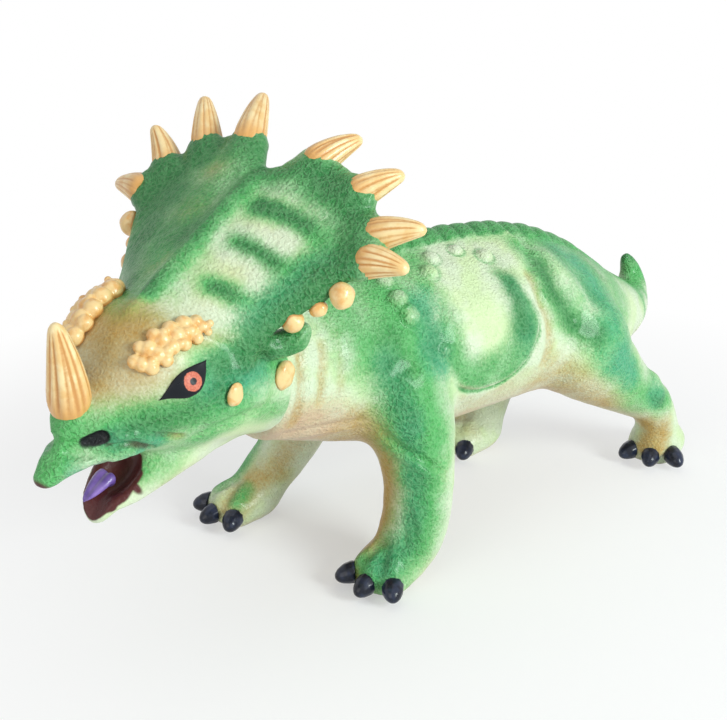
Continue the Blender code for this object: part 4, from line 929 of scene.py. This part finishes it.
# %% A short way to write materials
class Recipe:
    """A material under its own name, with short calls for its nodes."""

    def __init__(self, name, roughness, coat=0.0, coat_roughness=0.2):
        self.material = bpy.data.materials.new(name)
        self.material.use_nodes = True
        self.tree = self.material.node_tree
        self.shader = self.tree.nodes["Principled BSDF"]
        self.shader.inputs["Roughness"].default_value = roughness
        self.shader.inputs["Coat Weight"].default_value = coat
        self.shader.inputs["Coat Roughness"].default_value = coat_roughness
        self.place = self.tree.nodes.new("ShaderNodeTexCoord").outputs["Object"]

    def set(self, socket, value):
        if isinstance(value, bpy.types.NodeSocket):
            self.tree.links.new(value, socket)
        elif isinstance(value, tuple) and len(value) == 3 and socket.type == "RGBA":
            socket.default_value = (*value, 1.0)
        else:
            socket.default_value = value

    def noise(self, scale, detail=2.0, distortion=0.0):
        node = self.tree.nodes.new("ShaderNodeTexNoise")
        for name, value in (("Vector", self.place), ("Scale", scale), ("Detail", detail),
                            ("Distortion", distortion)):
            self.set(node.inputs[name], value)
        return node.outputs["Fac"]

    def cells(self, scale, feature="F1", output="Distance", wobble=0.0):
        """Cells; a wobble in millimetres bends their straight borders."""
        place = self.place
        if wobble:
            bend = self.tree.nodes.new("ShaderNodeTexNoise")
            self.set(bend.inputs["Vector"], self.place)
            self.set(bend.inputs["Scale"], scale * 0.9)
            shift = self.tree.nodes.new("ShaderNodeVectorMath")
            shift.operation = "MULTIPLY_ADD"
            self.set(shift.inputs[0], bend.outputs["Color"])
            shift.inputs[1].default_value = (wobble * MM,) * 3
            self.set(shift.inputs[2], self.place)
            place = shift.outputs[0]
        node = self.tree.nodes.new("ShaderNodeTexVoronoi")
        node.feature = feature
        self.set(node.inputs["Vector"], place)
        self.set(node.inputs["Scale"], scale)
        return node.outputs[output]

    def mask(self, name):
        node = self.tree.nodes.new("ShaderNodeAttribute")
        node.attribute_name = name
        return node.outputs["Fac"]

    def maths(self, operation, a, b=0.0, c=0.0):
        node = self.tree.nodes.new("ShaderNodeMath")
        node.operation = operation
        for socket, value in zip(node.inputs, (a, b, c)):
            self.set(socket, value)
        return node.outputs[0]

    def ramp(self, value, low, high, start=0.0, end=1.0, smooth=True):
        node = self.tree.nodes.new("ShaderNodeMapRange")
        node.interpolation_type = "SMOOTHSTEP" if smooth else "LINEAR"
        for name, given in (("Value", value), ("From Min", low), ("From Max", high),
                            ("To Min", start), ("To Max", end)):
            self.set(node.inputs[name], given)
        return node.outputs["Result"]

    def over(self, below, above, share, blend="MIX"):
        node = self.tree.nodes.new("ShaderNodeMix")
        node.data_type, node.blend_type = "RGBA", blend
        self.set(node.inputs[0], share)
        self.set(node.inputs[6], below)
        self.set(node.inputs[7], above)
        return node.outputs[2]

    def bump(self, height, depth, strength=1.0):
        node = self.tree.nodes.new("ShaderNodeBump")
        node.inputs["Strength"].default_value = strength
        node.inputs["Distance"].default_value = depth * MM
        self.set(node.inputs["Height"], height)
        self.set(self.shader.inputs["Normal"], node.outputs[0])

    def colour(self, value):
        self.set(self.shader.inputs["Base Color"], value)


print("material helpers ready")

# %% [markdown]
# ## Paint over cream
# Each colour is mixed over the ones before it by its mask. The noise works most where a mask is
# half strength, at the edge of a stroke, because full and bare areas stay even under an airbrush.
# The pebbles are bump and painted light: a painted highlight on each one, painted shade between them.

# %% Painted vinyl
CREAM = (0.65, 0.73, 0.54)
GREEN = (0.085, 0.42, 0.115)
DARK_GREEN = (0.020, 0.185, 0.045)
TEAL = (0.035, 0.34, 0.19)
BROWN = (0.46, 0.27, 0.065)
PINK = (0.62, 0.42, 0.29)
MAROON = (0.085, 0.018, 0.018)
BLACK = (0.006, 0.008, 0.010)


def painted_vinyl():
    recipe = Recipe("painted_vinyl", 0.45, coat=0.2, coat_roughness=0.16)
    recipe.shader.inputs["Specular IOR Level"].default_value = 0.2
    drift = recipe.noise(55.0, 4.0)
    speckle = recipe.noise(800.0, 2.0)
    worms = recipe.maths("ABSOLUTE", recipe.maths("SUBTRACT", recipe.noise(300.0, 1.0, 0.7), 0.5))
    worms = recipe.ramp(worms, 0.0, 0.09, 1.0, 0.0)
    net = recipe.ramp(recipe.cells(300.0, "DISTANCE_TO_EDGE", wobble=5.0), 0.0, 0.26, 1.0, 0.0)
    ridges = recipe.maths("MAXIMUM", net, recipe.maths("MULTIPLY", worms, 0.6))
    pebbles = recipe.ramp(recipe.cells(430.0, "DISTANCE_TO_EDGE"), 0.0, 0.35)
    grain = recipe.mask("grain")
    colour = recipe.over(CREAM, (0.60, 0.73, 0.42), recipe.ramp(drift, 0.38, 0.64))
    layers = (("pink", PINK), ("brown", BROWN), ("green", GREEN), ("teal", TEAL), ("dark", DARK_GREEN))
    for name, tint in layers:
        mask = recipe.mask(name)
        edge = recipe.maths("MULTIPLY", mask, recipe.maths("SUBTRACT", 1.0, mask))
        edge = recipe.maths("MULTIPLY", edge, 4.0)
        uneven = recipe.maths("ADD", recipe.maths("MULTIPLY", recipe.maths("SUBTRACT", drift, 0.5), 1.3),
                              recipe.maths("MULTIPLY", recipe.maths("SUBTRACT", speckle, 0.5), 0.7))
        soft = recipe.maths("MULTIPLY_ADD", edge, uneven, mask)
        colour = recipe.over(colour, tint, recipe.ramp(soft, 0.02, 0.95, smooth=False))
    # Painted light on the skin's relief: a painted highlight on top of each pebble and ridge, and painted
    # shade in the dips between them.
    pebble_highlight = recipe.maths("MAXIMUM", ridges, recipe.maths("MULTIPLY", pebbles, 0.7))
    pebble_highlight = recipe.maths("MULTIPLY", pebble_highlight, grain)
    pebble_shade = recipe.maths("SUBTRACT", 1.0, recipe.maths("MAXIMUM", ridges, pebbles))
    pebble_shade = recipe.maths("MULTIPLY", pebble_shade, grain)
    colour = recipe.over(colour, (0.50, 0.62, 0.36), recipe.maths("MULTIPLY", pebble_shade, 0.25), "MULTIPLY")
    # Mid-green tint on the ridge lines: darker over cream, and a painted highlight over dark paint.
    ridge_tint_and_highlight = recipe.maths("MULTIPLY", net, grain)
    colour = recipe.over(colour, (0.42, 0.72, 0.38), recipe.maths("MULTIPLY", ridge_tint_and_highlight, 0.05))
    colour = recipe.over(colour, (0.70, 0.95, 0.62), recipe.maths("MULTIPLY", pebble_highlight, 0.05))
    colour = recipe.over(colour, MAROON, recipe.ramp(recipe.mask("maroon"), 0.25, 0.70))
    colour = recipe.over(colour, BLACK, recipe.ramp(recipe.mask("black"), 0.40, 0.60))
    recipe.colour(colour)
    height = recipe.maths("ADD", recipe.maths("MULTIPLY", ridges, 0.55),
                          recipe.maths("MULTIPLY", pebbles, 0.55))
    height = recipe.maths("MULTIPLY", height, recipe.maths("MAXIMUM", grain, 0.12))
    recipe.bump(height, 0.70, 1.0)
    return recipe.material


vinyl = painted_vinyl()


def show(name, mesh, material, body_name, replaced, sharp=50):
    """Puts a finished mesh in the scene as a piece that rides on a body."""
    mesh.name = name
    mesh.materials.clear()
    mesh.materials.append(material)
    mesh.shade_smooth()
    mesh.set_sharp_from_angle(angle=math.radians(sharp))
    thing = bpy.data.objects.new(name, mesh)
    bpy.context.scene.collection.objects.link(thing)
    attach(thing, body_name)
    if replaced:
        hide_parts(*replaced)
    return thing


for name, mesh in castings.items():
    show(name + "_skin", mesh, vinyl, "head" if name == "head" else "body", [name])
    print(name, "skin:", sum(len(face.vertices) - 2 for face in mesh.polygons), "triangles")

# %% [markdown]
# ## Fluted horns
# The nose horn and the spikes are blunt, slightly bent cones, grooved lengthwise and browner in the
# grooves and towards the base. A ring of points is extruded up the horn, narrowed step by step, and the
# grooves press in at uneven angles. The grooves also go into a mask for the paint.

# %% Model the horns
HORN_TAPER = [(0.0, 0.86), (0.05, 0.94), (0.12, 1.0), (0.25, 0.97), (0.40, 0.87), (0.55, 0.76),
              (0.68, 0.65), (0.80, 0.53), (0.88, 0.44), (0.94, 0.34), (0.975, 0.22), (0.995, 0.10)]
HORN_SIDES = 72


def fluted_horn(base, tip, radius, bend, grooves, seed):
    """A grooved horn between two points, in mm; bend is a share of its length."""
    rng = np.random.default_rng(seed)
    bm = bmesh.new()
    ring = bmesh.ops.create_circle(bm, segments=HORN_SIDES, radius=HORN_TAPER[0][1])["verts"]
    edges = list(bm.edges)
    for (low, wide), (high, narrow) in zip(HORN_TAPER[:-1], HORN_TAPER[1:]):
        for part in range(2):
            made = bmesh.ops.extrude_edge_only(bm, edges=edges)["geom"]
            ring = [item for item in made if isinstance(item, bmesh.types.BMVert)]
            edges = [item for item in made if isinstance(item, bmesh.types.BMEdge)]
            start, end = wide + (narrow - wide) * part / 2, wide + (narrow - wide) * (part + 1) / 2
            bmesh.ops.scale(bm, vec=(end / start, end / start, 1.0), verts=ring)
            bmesh.ops.translate(bm, vec=(0.0, 0.0, (high - low) / 2), verts=ring)
    bmesh.ops.holes_fill(bm, edges=[edge for edge in bm.edges if edge.is_boundary], sides=0)
    bmesh.ops.recalc_face_normals(bm, faces=bm.faces)
    places = np.array([vert.co for vert in bm.verts])
    angle, high = np.arctan2(places[:, 1], places[:, 0]), places[:, 2]
    depth = np.zeros(len(places))
    for number in range(grooves):
        middle = 2 * math.pi * (number + rng.uniform(-0.25, 0.25)) / grooves + rng.uniform(-0.25, 0.25) * high
        gap = np.abs((angle - middle + math.pi) % (2 * math.pi) - math.pi)
        ends = step(high, rng.uniform(-0.2, 0.1), 0.2) * (1 - step(high, rng.uniform(0.7, 0.9), 0.99))
        trough = np.exp(-(gap / rng.uniform(0.07, 0.13)) ** 2)
        depth = np.maximum(depth, trough * ends * rng.uniform(0.5, 1.0))
    way = Vector(tip) - Vector(base)
    turn = way.to_track_quat("Z", "Y").to_matrix()
    lean = Vector((0, 0, -1)) if abs(way.normalized().z) < 0.75 else Vector((0, -1, 0))
    for vert, groove, up in zip(bm.verts, depth, high):
        shrink = 1 - 0.09 * groove
        flat = Vector((vert.co.x * radius * shrink, vert.co.y * radius * shrink, up * way.length))
        arch = lean * (-bend) * way.length * 4 * up * (1 - up)
        vert.co = (Vector(base) + turn @ flat + arch) * MM
    mesh = mesh_of(bm, "horn")
    hold_coats(mesh, {"groove": depth, "rise": high})
    return mesh


horn = Recipe("ochre_horn", 0.42, coat=0.3, coat_roughness=0.2)
streaks = horn.noise(420.0, 3.0, 1.2)
# The horn is browner in its grooves and towards its base.
groove_brown = horn.ramp(horn.maths("MULTIPLY_ADD", streaks, 0.45, horn.mask("groove")), 0.35, 1.05)
ochre = horn.over((0.80, 0.53, 0.22), (0.87, 0.69, 0.37), horn.ramp(horn.noise(160.0, 2.0), 0.35, 0.65))
ochre = horn.over((0.70, 0.36, 0.10), ochre, horn.ramp(horn.mask("rise"), 0.0, 0.45))
horn.colour(horn.over(ochre, (0.58, 0.27, 0.07), groove_brown))
horn.bump(horn.maths("ADD", streaks, horn.maths("MULTIPLY", horn.noise(1500.0, 2.0), 0.3)), 0.25, 0.5)

for number, name in enumerate(SPIKES):
    base, tip = node_axis(name, SKULL_MIDDLE)
    way = (tip - base) / np.linalg.norm(tip - base)
    mesh = fluted_horn(base + way * 1.5, tip - way * 1.5, 7.6, 0.05, 14, number + 1)
    show(name + "_horn", mesh, horn.material, "head", [name])
NOSE = np.array(HEAD_AXES @ (Vector((0, -105, 10)) * MM)) / MM
base, tip = node_axis("nose_horn", NOSE)
way = (tip - base) / np.linalg.norm(tip - base)
nose = fluted_horn(base + way * 4.5, tip - way * 1.0, 8.7, 0.02, 14, 40)
show("nose_horn_fluted", nose, horn.material, "head", ["nose_horn"])
print("horns:", len(SPIKES) + 1)

# %% [markdown]
# ## Nubs
# The nubs are small rounded lumps with soft facets. An icosphere takes a packed nub's place and
# size, low noise gives it facets, and the paint is browner where it meets the skin.

# %% Model the nubs
scale_paint = Recipe("ochre_scale", 0.38, coat=0.4, coat_roughness=0.18)
blotch = scale_paint.noise(260.0, 3.0)
warm = scale_paint.over((0.82, 0.58, 0.26), (0.74, 0.40, 0.12), scale_paint.ramp(blotch, 0.42, 0.68))
low_part = scale_paint.ramp(scale_paint.mask("deep"), 0.2, 0.9)
scale_paint.colour(scale_paint.over(warm, (0.55, 0.26, 0.07), low_part))
scale_paint.bump(scale_paint.noise(700.0, 2.0), 0.2, 0.4)

NUB_SIZES = (0.84, 0.95, 1.0, 0.95, 0.92, 1.05)
NUBS = ["frill_nub_%s_%d" % (side, n) for side in ("left", "right") for n in (1, 2, 3, 4)]
NUBS += ["cheek_nub_%s_%d" % (side, n) for side in ("left", "right") for n in (1, 2)]
head_tree = BVHTree.FromPolygons([v.co for v in castings["head"].vertices],
                                 [tuple(f.vertices) for f in castings["head"].polygons])
for number, name in enumerate(NUBS):
    points = node_points(name) @ TURN
    low, high = points.min(0), points.max(0)
    size = NUB_SIZES[number % 4 if number < 8 else 4 + number % 2]
    middle, half = (low + high) / 2, (high - low) / 2 * size
    bm = bmesh.new()
    bmesh.ops.create_icosphere(bm, subdivisions=4, radius=1.0)
    for vert in bm.verts:
        way = vert.co.normalized()
        facet = noise.noise(way * 1.3 + Vector((number, 0, 0))) * 0.12
        vert.co = Vector(way) * (1.0 + facet)
    for vert in bm.verts:
        local = Vector(middle) + Vector([c * h for c, h in zip(vert.co, half)])
        vert.co = Vector(TURN @ np.array(local)) * MM
    mesh = mesh_of(bm, name)
    gaps = np.array([head_tree.find_nearest(v.co)[3] for v in mesh.vertices]) / MM
    hold_coats(mesh, {"deep": 1 - step(gaps, 0.0, 1.6)})
    show(name + "_lump", mesh, scale_paint.material, "head", [name])
print("nubs:", len(NUBS))

# %% [markdown]
# ## Brow bosses
# Each brow carries a cluster of balls. A ball's place is dropped on the nearest point of the skin
# and lifted a little, smaller balls sit higher between them, and the fine remesh melts them into
# one piece. The photograph shows the right cluster standing up over the brow, so its balls are
# larger and lifted more.

# %% Model the brow bosses
BOSS_BALLS = [(16.5, -88, 41, 3.0), (20, -87, 41, 3.4), (23.5, -85, 40, 3.1), (15, -83, 45, 2.8),
              (18.5, -82, 45.5, 3.6), (22.5, -80.5, 44, 3.5), (26, -79, 42, 2.9), (17, -77, 49, 3.2),
              (20.5, -76, 48.5, 3.6), (24.5, -74.5, 46, 3.5), (19.5, -70, 51, 3.5), (23, -69.5, 49.5, 3.6),
              (27, -69, 46.5, 3.1), (21, -63.5, 52, 3.7), (25, -63.5, 50, 3.4), (28, -62.5, 47.5, 2.7),
              (22.5, -59.5, 52, 3.1), (26, -59.5, 50.5, 2.6)]


def on_skin(place):
    """Nearest point of the head's skin to a place in the head's axes, and its way out."""
    hit, out, face, gap = head_tree.find_nearest(HEAD_AXES @ (Vector(place) * MM))
    return hit, out


for side, sign in (("left", 1), ("right", -1)):
    bm = bmesh.new()
    for x, y, z, radius in BOSS_BALLS:
        hit, out = on_skin((x if sign > 0 else -x * 0.92, y, z))
        bmesh.ops.create_icosphere(bm, subdivisions=3, radius=radius * (1.0 if sign > 0 else 1.35) * MM,
                                   matrix=Matrix.Translation(hit + out * (0.9 if sign > 0 else 2.8) * MM))
    for x, y, z, radius in BOSS_BALLS[1::2]:
        hit, out = on_skin(((x + 2.4) * (1 if sign > 0 else -0.92), y + 3.0, z + 1.0))
        bmesh.ops.create_icosphere(bm, subdivisions=3, radius=radius * 0.62 * MM,
                                   matrix=Matrix.Translation(hit + out * (2.4 if sign > 0 else 5.6) * MM))
    boss = Clay(even_net(bm, 0.45))
    boss.smooth(2, 0)
    boss.at += boss.out * (lumps(boss.at, 2.5, 2.0) * 0.10)[:, None]
    mesh = boss.keep()
    gaps = np.array([head_tree.find_nearest(v.co)[3] for v in mesh.vertices]) / MM
    hold_coats(mesh, {"deep": 1 - step(gaps, 0.2, 2.6)})
    show("brow_boss_%s_balls" % side, mesh, scale_paint.material, "head",
         ["brow_boss_" + side], 80)
print("brow bosses: 2 clusters of", len(BOSS_BALLS), "balls")

# %% [markdown]
# ## Eyes
# The eye is a slanted almond of black paint with a salmon ring. A flattened ball is drawn into the
# almond's outline and laid on the skin, with its upper half proud of it and its lower half sunk.
# The ring and the pupil are rounds of paint, held in a mask of distances.

# %% Model the eyes
EYE_FRONT, EYE_BACK = Vector((27, -84, 25)), Vector((33, -62, 38))
EYE_HALF_HEIGHT = 5.4
IRIS_PLACE = Vector((33.5, -72.2, 32.5))
eye_paint = Recipe("painted_eye", 0.45, coat=0.06, coat_roughness=0.10)
eye_paint.shader.inputs["Specular IOR Level"].default_value = 0.2
shaky = eye_paint.maths("SUBTRACT", eye_paint.noise(900.0, 2.0), 0.5)
far = eye_paint.maths("MULTIPLY_ADD", shaky, 0.5, eye_paint.mask("off_iris"))
ring = eye_paint.maths("MULTIPLY", eye_paint.ramp(far, 1.8, 2.1), eye_paint.ramp(far, 3.9, 4.2, 1.0, 0.0))
mottle = eye_paint.ramp(eye_paint.noise(1200.0, 2.0), 0.4, 0.6)
salmon = eye_paint.over((0.55, 0.14, 0.09), (0.64, 0.20, 0.13), mottle)
eye_paint.colour(eye_paint.over((0.006, 0.008, 0.012), salmon, ring))
eye_paint.bump(eye_paint.noise(500.0, 2.0), 0.12, 0.4)

for side, sign in (("left", 1), ("right", -1)):
    flip = Vector((sign, 1, 1))
    front, rear, iris = (Vector(p * q for p, q in zip(place, flip))
                         for place in (EYE_FRONT, EYE_BACK, IRIS_PLACE))
    middle, length = (front + rear) / 2, (rear - front).length / 2
    along_eye = (rear - front).normalized()
    hit, out = on_skin(middle)
    out_local = Vector(TURN.T @ np.array(out))
    up_eye = out_local.cross(along_eye).normalized()
    if up_eye.z < 0:
        up_eye = -up_eye
    bm = bmesh.new()
    bmesh.ops.create_uvsphere(bm, u_segments=64, v_segments=32, radius=1.0)
    for vert in bm.verts:
        u, v, w = vert.co
        over, under = 0.50 * (1 - abs(u) ** 2.4), (1 - abs(u) ** 3.0) * (1.0 + 0.42 * u)
        reach = v * EYE_HALF_HEIGHT * (over if v > 0 else under) * 1.15
        spot = middle + along_eye * u * length + up_eye * (reach + 0.6)
        hit, out = on_skin(spot)
        lift = (0.35 + 0.9 * w) if w > 0 else 0.35 + w * 1.6
        vert.co = hit + out * lift * MM
    bmesh.ops.recalc_face_normals(bm, faces=bm.faces)
    mesh = mesh_of(bm, "eye")
    centre = on_skin(iris)[0]
    hold_coats(mesh, {"off_iris": np.array([(v.co - centre).length / MM for v in mesh.vertices])})
    show("eye_%s_almond" % side, mesh, eye_paint.material, "head", ["eye_" + side], 80)
print("eyes: 2")

# %% [markdown]
# ## The tongue
# The tongue is a thick purple leaf with a gutter down its middle and a light gloss. A ball is
# flattened, its tip is narrowed and droops, and its rear half is squeezed short, so that it ends
# inside the jaw.

# %% Model the tongue
tongue_paint = Recipe("purple_tongue", 0.35, coat=0.35, coat_roughness=0.12)
shade = tongue_paint.ramp(tongue_paint.noise(140.0, 2.0), 0.35, 0.65)
tongue_paint.colour(tongue_paint.over((0.14, 0.075, 0.33), (0.24, 0.14, 0.47), shade))
tongue_paint.bump(tongue_paint.noise(420.0, 2.0), 0.2, 0.4)
points = node_points("tongue")
local = (points - np.array(HEAD_AXES)[:3, 3] / MM) @ TURN
low, high = local.min(0), local.max(0)
middle, half = (low + high) / 2, (high - low) / 2
bm = bmesh.new()
bmesh.ops.create_uvsphere(bm, u_segments=40, v_segments=24, radius=1.0)
for vert in bm.verts:
    x, y, z = vert.co
    gutter = 0.45 * math.exp(-(x / 0.35) ** 2) * (1 if z > 0 else 0)
    narrow = 0.70 * (1 - 0.35 * max(-y, 0.0) ** 2)
    droop = 3.0 - 6.5 * max(-y - 0.1, 0.0)
    rear = y * 0.12 if y > 0 else y
    root = 1.7 if z < 0 and y > -0.1 else 1.0
    up = (z * root - gutter) * half[2] * 0.8 + droop
    place = Vector((x * half[0] * narrow - 1.0, rear * half[1], up)) + Vector(middle)
    vert.co = HEAD_AXES @ (place * MM)
mesh = mesh_of(bm, "tongue")
show("tongue_leaf", mesh, tongue_paint.material, "head", ["tongue"], 80)
print("tongue:", [round(float(v), 1) for v in high - low], "mm")

# %% [markdown]
# ## Claws
# Each claw is a blunt hoof-like drop of navy blue with a little gloss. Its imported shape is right
# but faceted, so it is remeshed finely and smoothed.

# %% Model the claws
claw_paint = Recipe("navy_claw", 0.30, coat=0.25, coat_roughness=0.1)
claw_paint.shader.inputs["Specular IOR Level"].default_value = 0.2
smoke = claw_paint.ramp(claw_paint.noise(180.0, 3.0), 0.38, 0.66)
claw_paint.colour(claw_paint.over((0.007, 0.009, 0.018), (0.022, 0.030, 0.060), smoke))
claw_paint.bump(claw_paint.noise(600.0, 2.0), 0.15, 0.35)
for foot in FEET:
    for number in (1, 2, 3):
        name = "%s_claw_%d" % (foot, number)
        claw = Clay(even_net(closed_copy([name], 0.1), 0.5))
        claw.smooth(14, 8)
        show(name + "_smooth", claw.keep(), claw_paint.material, "body", [name], 80)
print("claws:", 3 * len(FEET))

# %% [markdown]
# ## Inside: the filling and the stopper
# Both hollows hold soft fibre. It is never seen, but it is modelled as what it is, a lumpy wad
# that stays clear of its walls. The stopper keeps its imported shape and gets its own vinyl.

# %% Fillings and stopper
fibre = Recipe("fibre_wad", 0.95)
threads = fibre.noise(500.0, 4.0, 2.5)
fibre.colour(fibre.over((0.78, 0.77, 0.73), (0.92, 0.91, 0.88), fibre.ramp(threads, 0.35, 0.65)))
fibre.bump(threads, 1.0, 0.8)
for name, body_name in (("torso_stuffing", "body"), ("head_stuffing", "head")):
    wad = Clay(even_net(closed_copy([name], 0.0), 2.2))
    wad.smooth(4, 2)
    wad.at -= wad.out * (0.4 + 0.5 * np.abs(lumps(wad.at, 8.0, 4.0)))[:, None]
    show(name + "_wad", wad.keep(), fibre.material, body_name, [name], 80)

plain = Recipe("cream_stopper", 0.5, coat=0.2)
mottle = plain.ramp(plain.noise(300.0, 3.0), 0.35, 0.65)
plain.colour(plain.over((0.62, 0.52, 0.34), (0.70, 0.62, 0.42), mottle))
plain.bump(plain.noise(900.0, 2.0), 0.2, 0.4)
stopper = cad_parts["belly_stopper"]
stopper.data.materials.clear()
stopper.data.materials.append(plain.material)
print("fillings: 2, and the stopper has its vinyl")
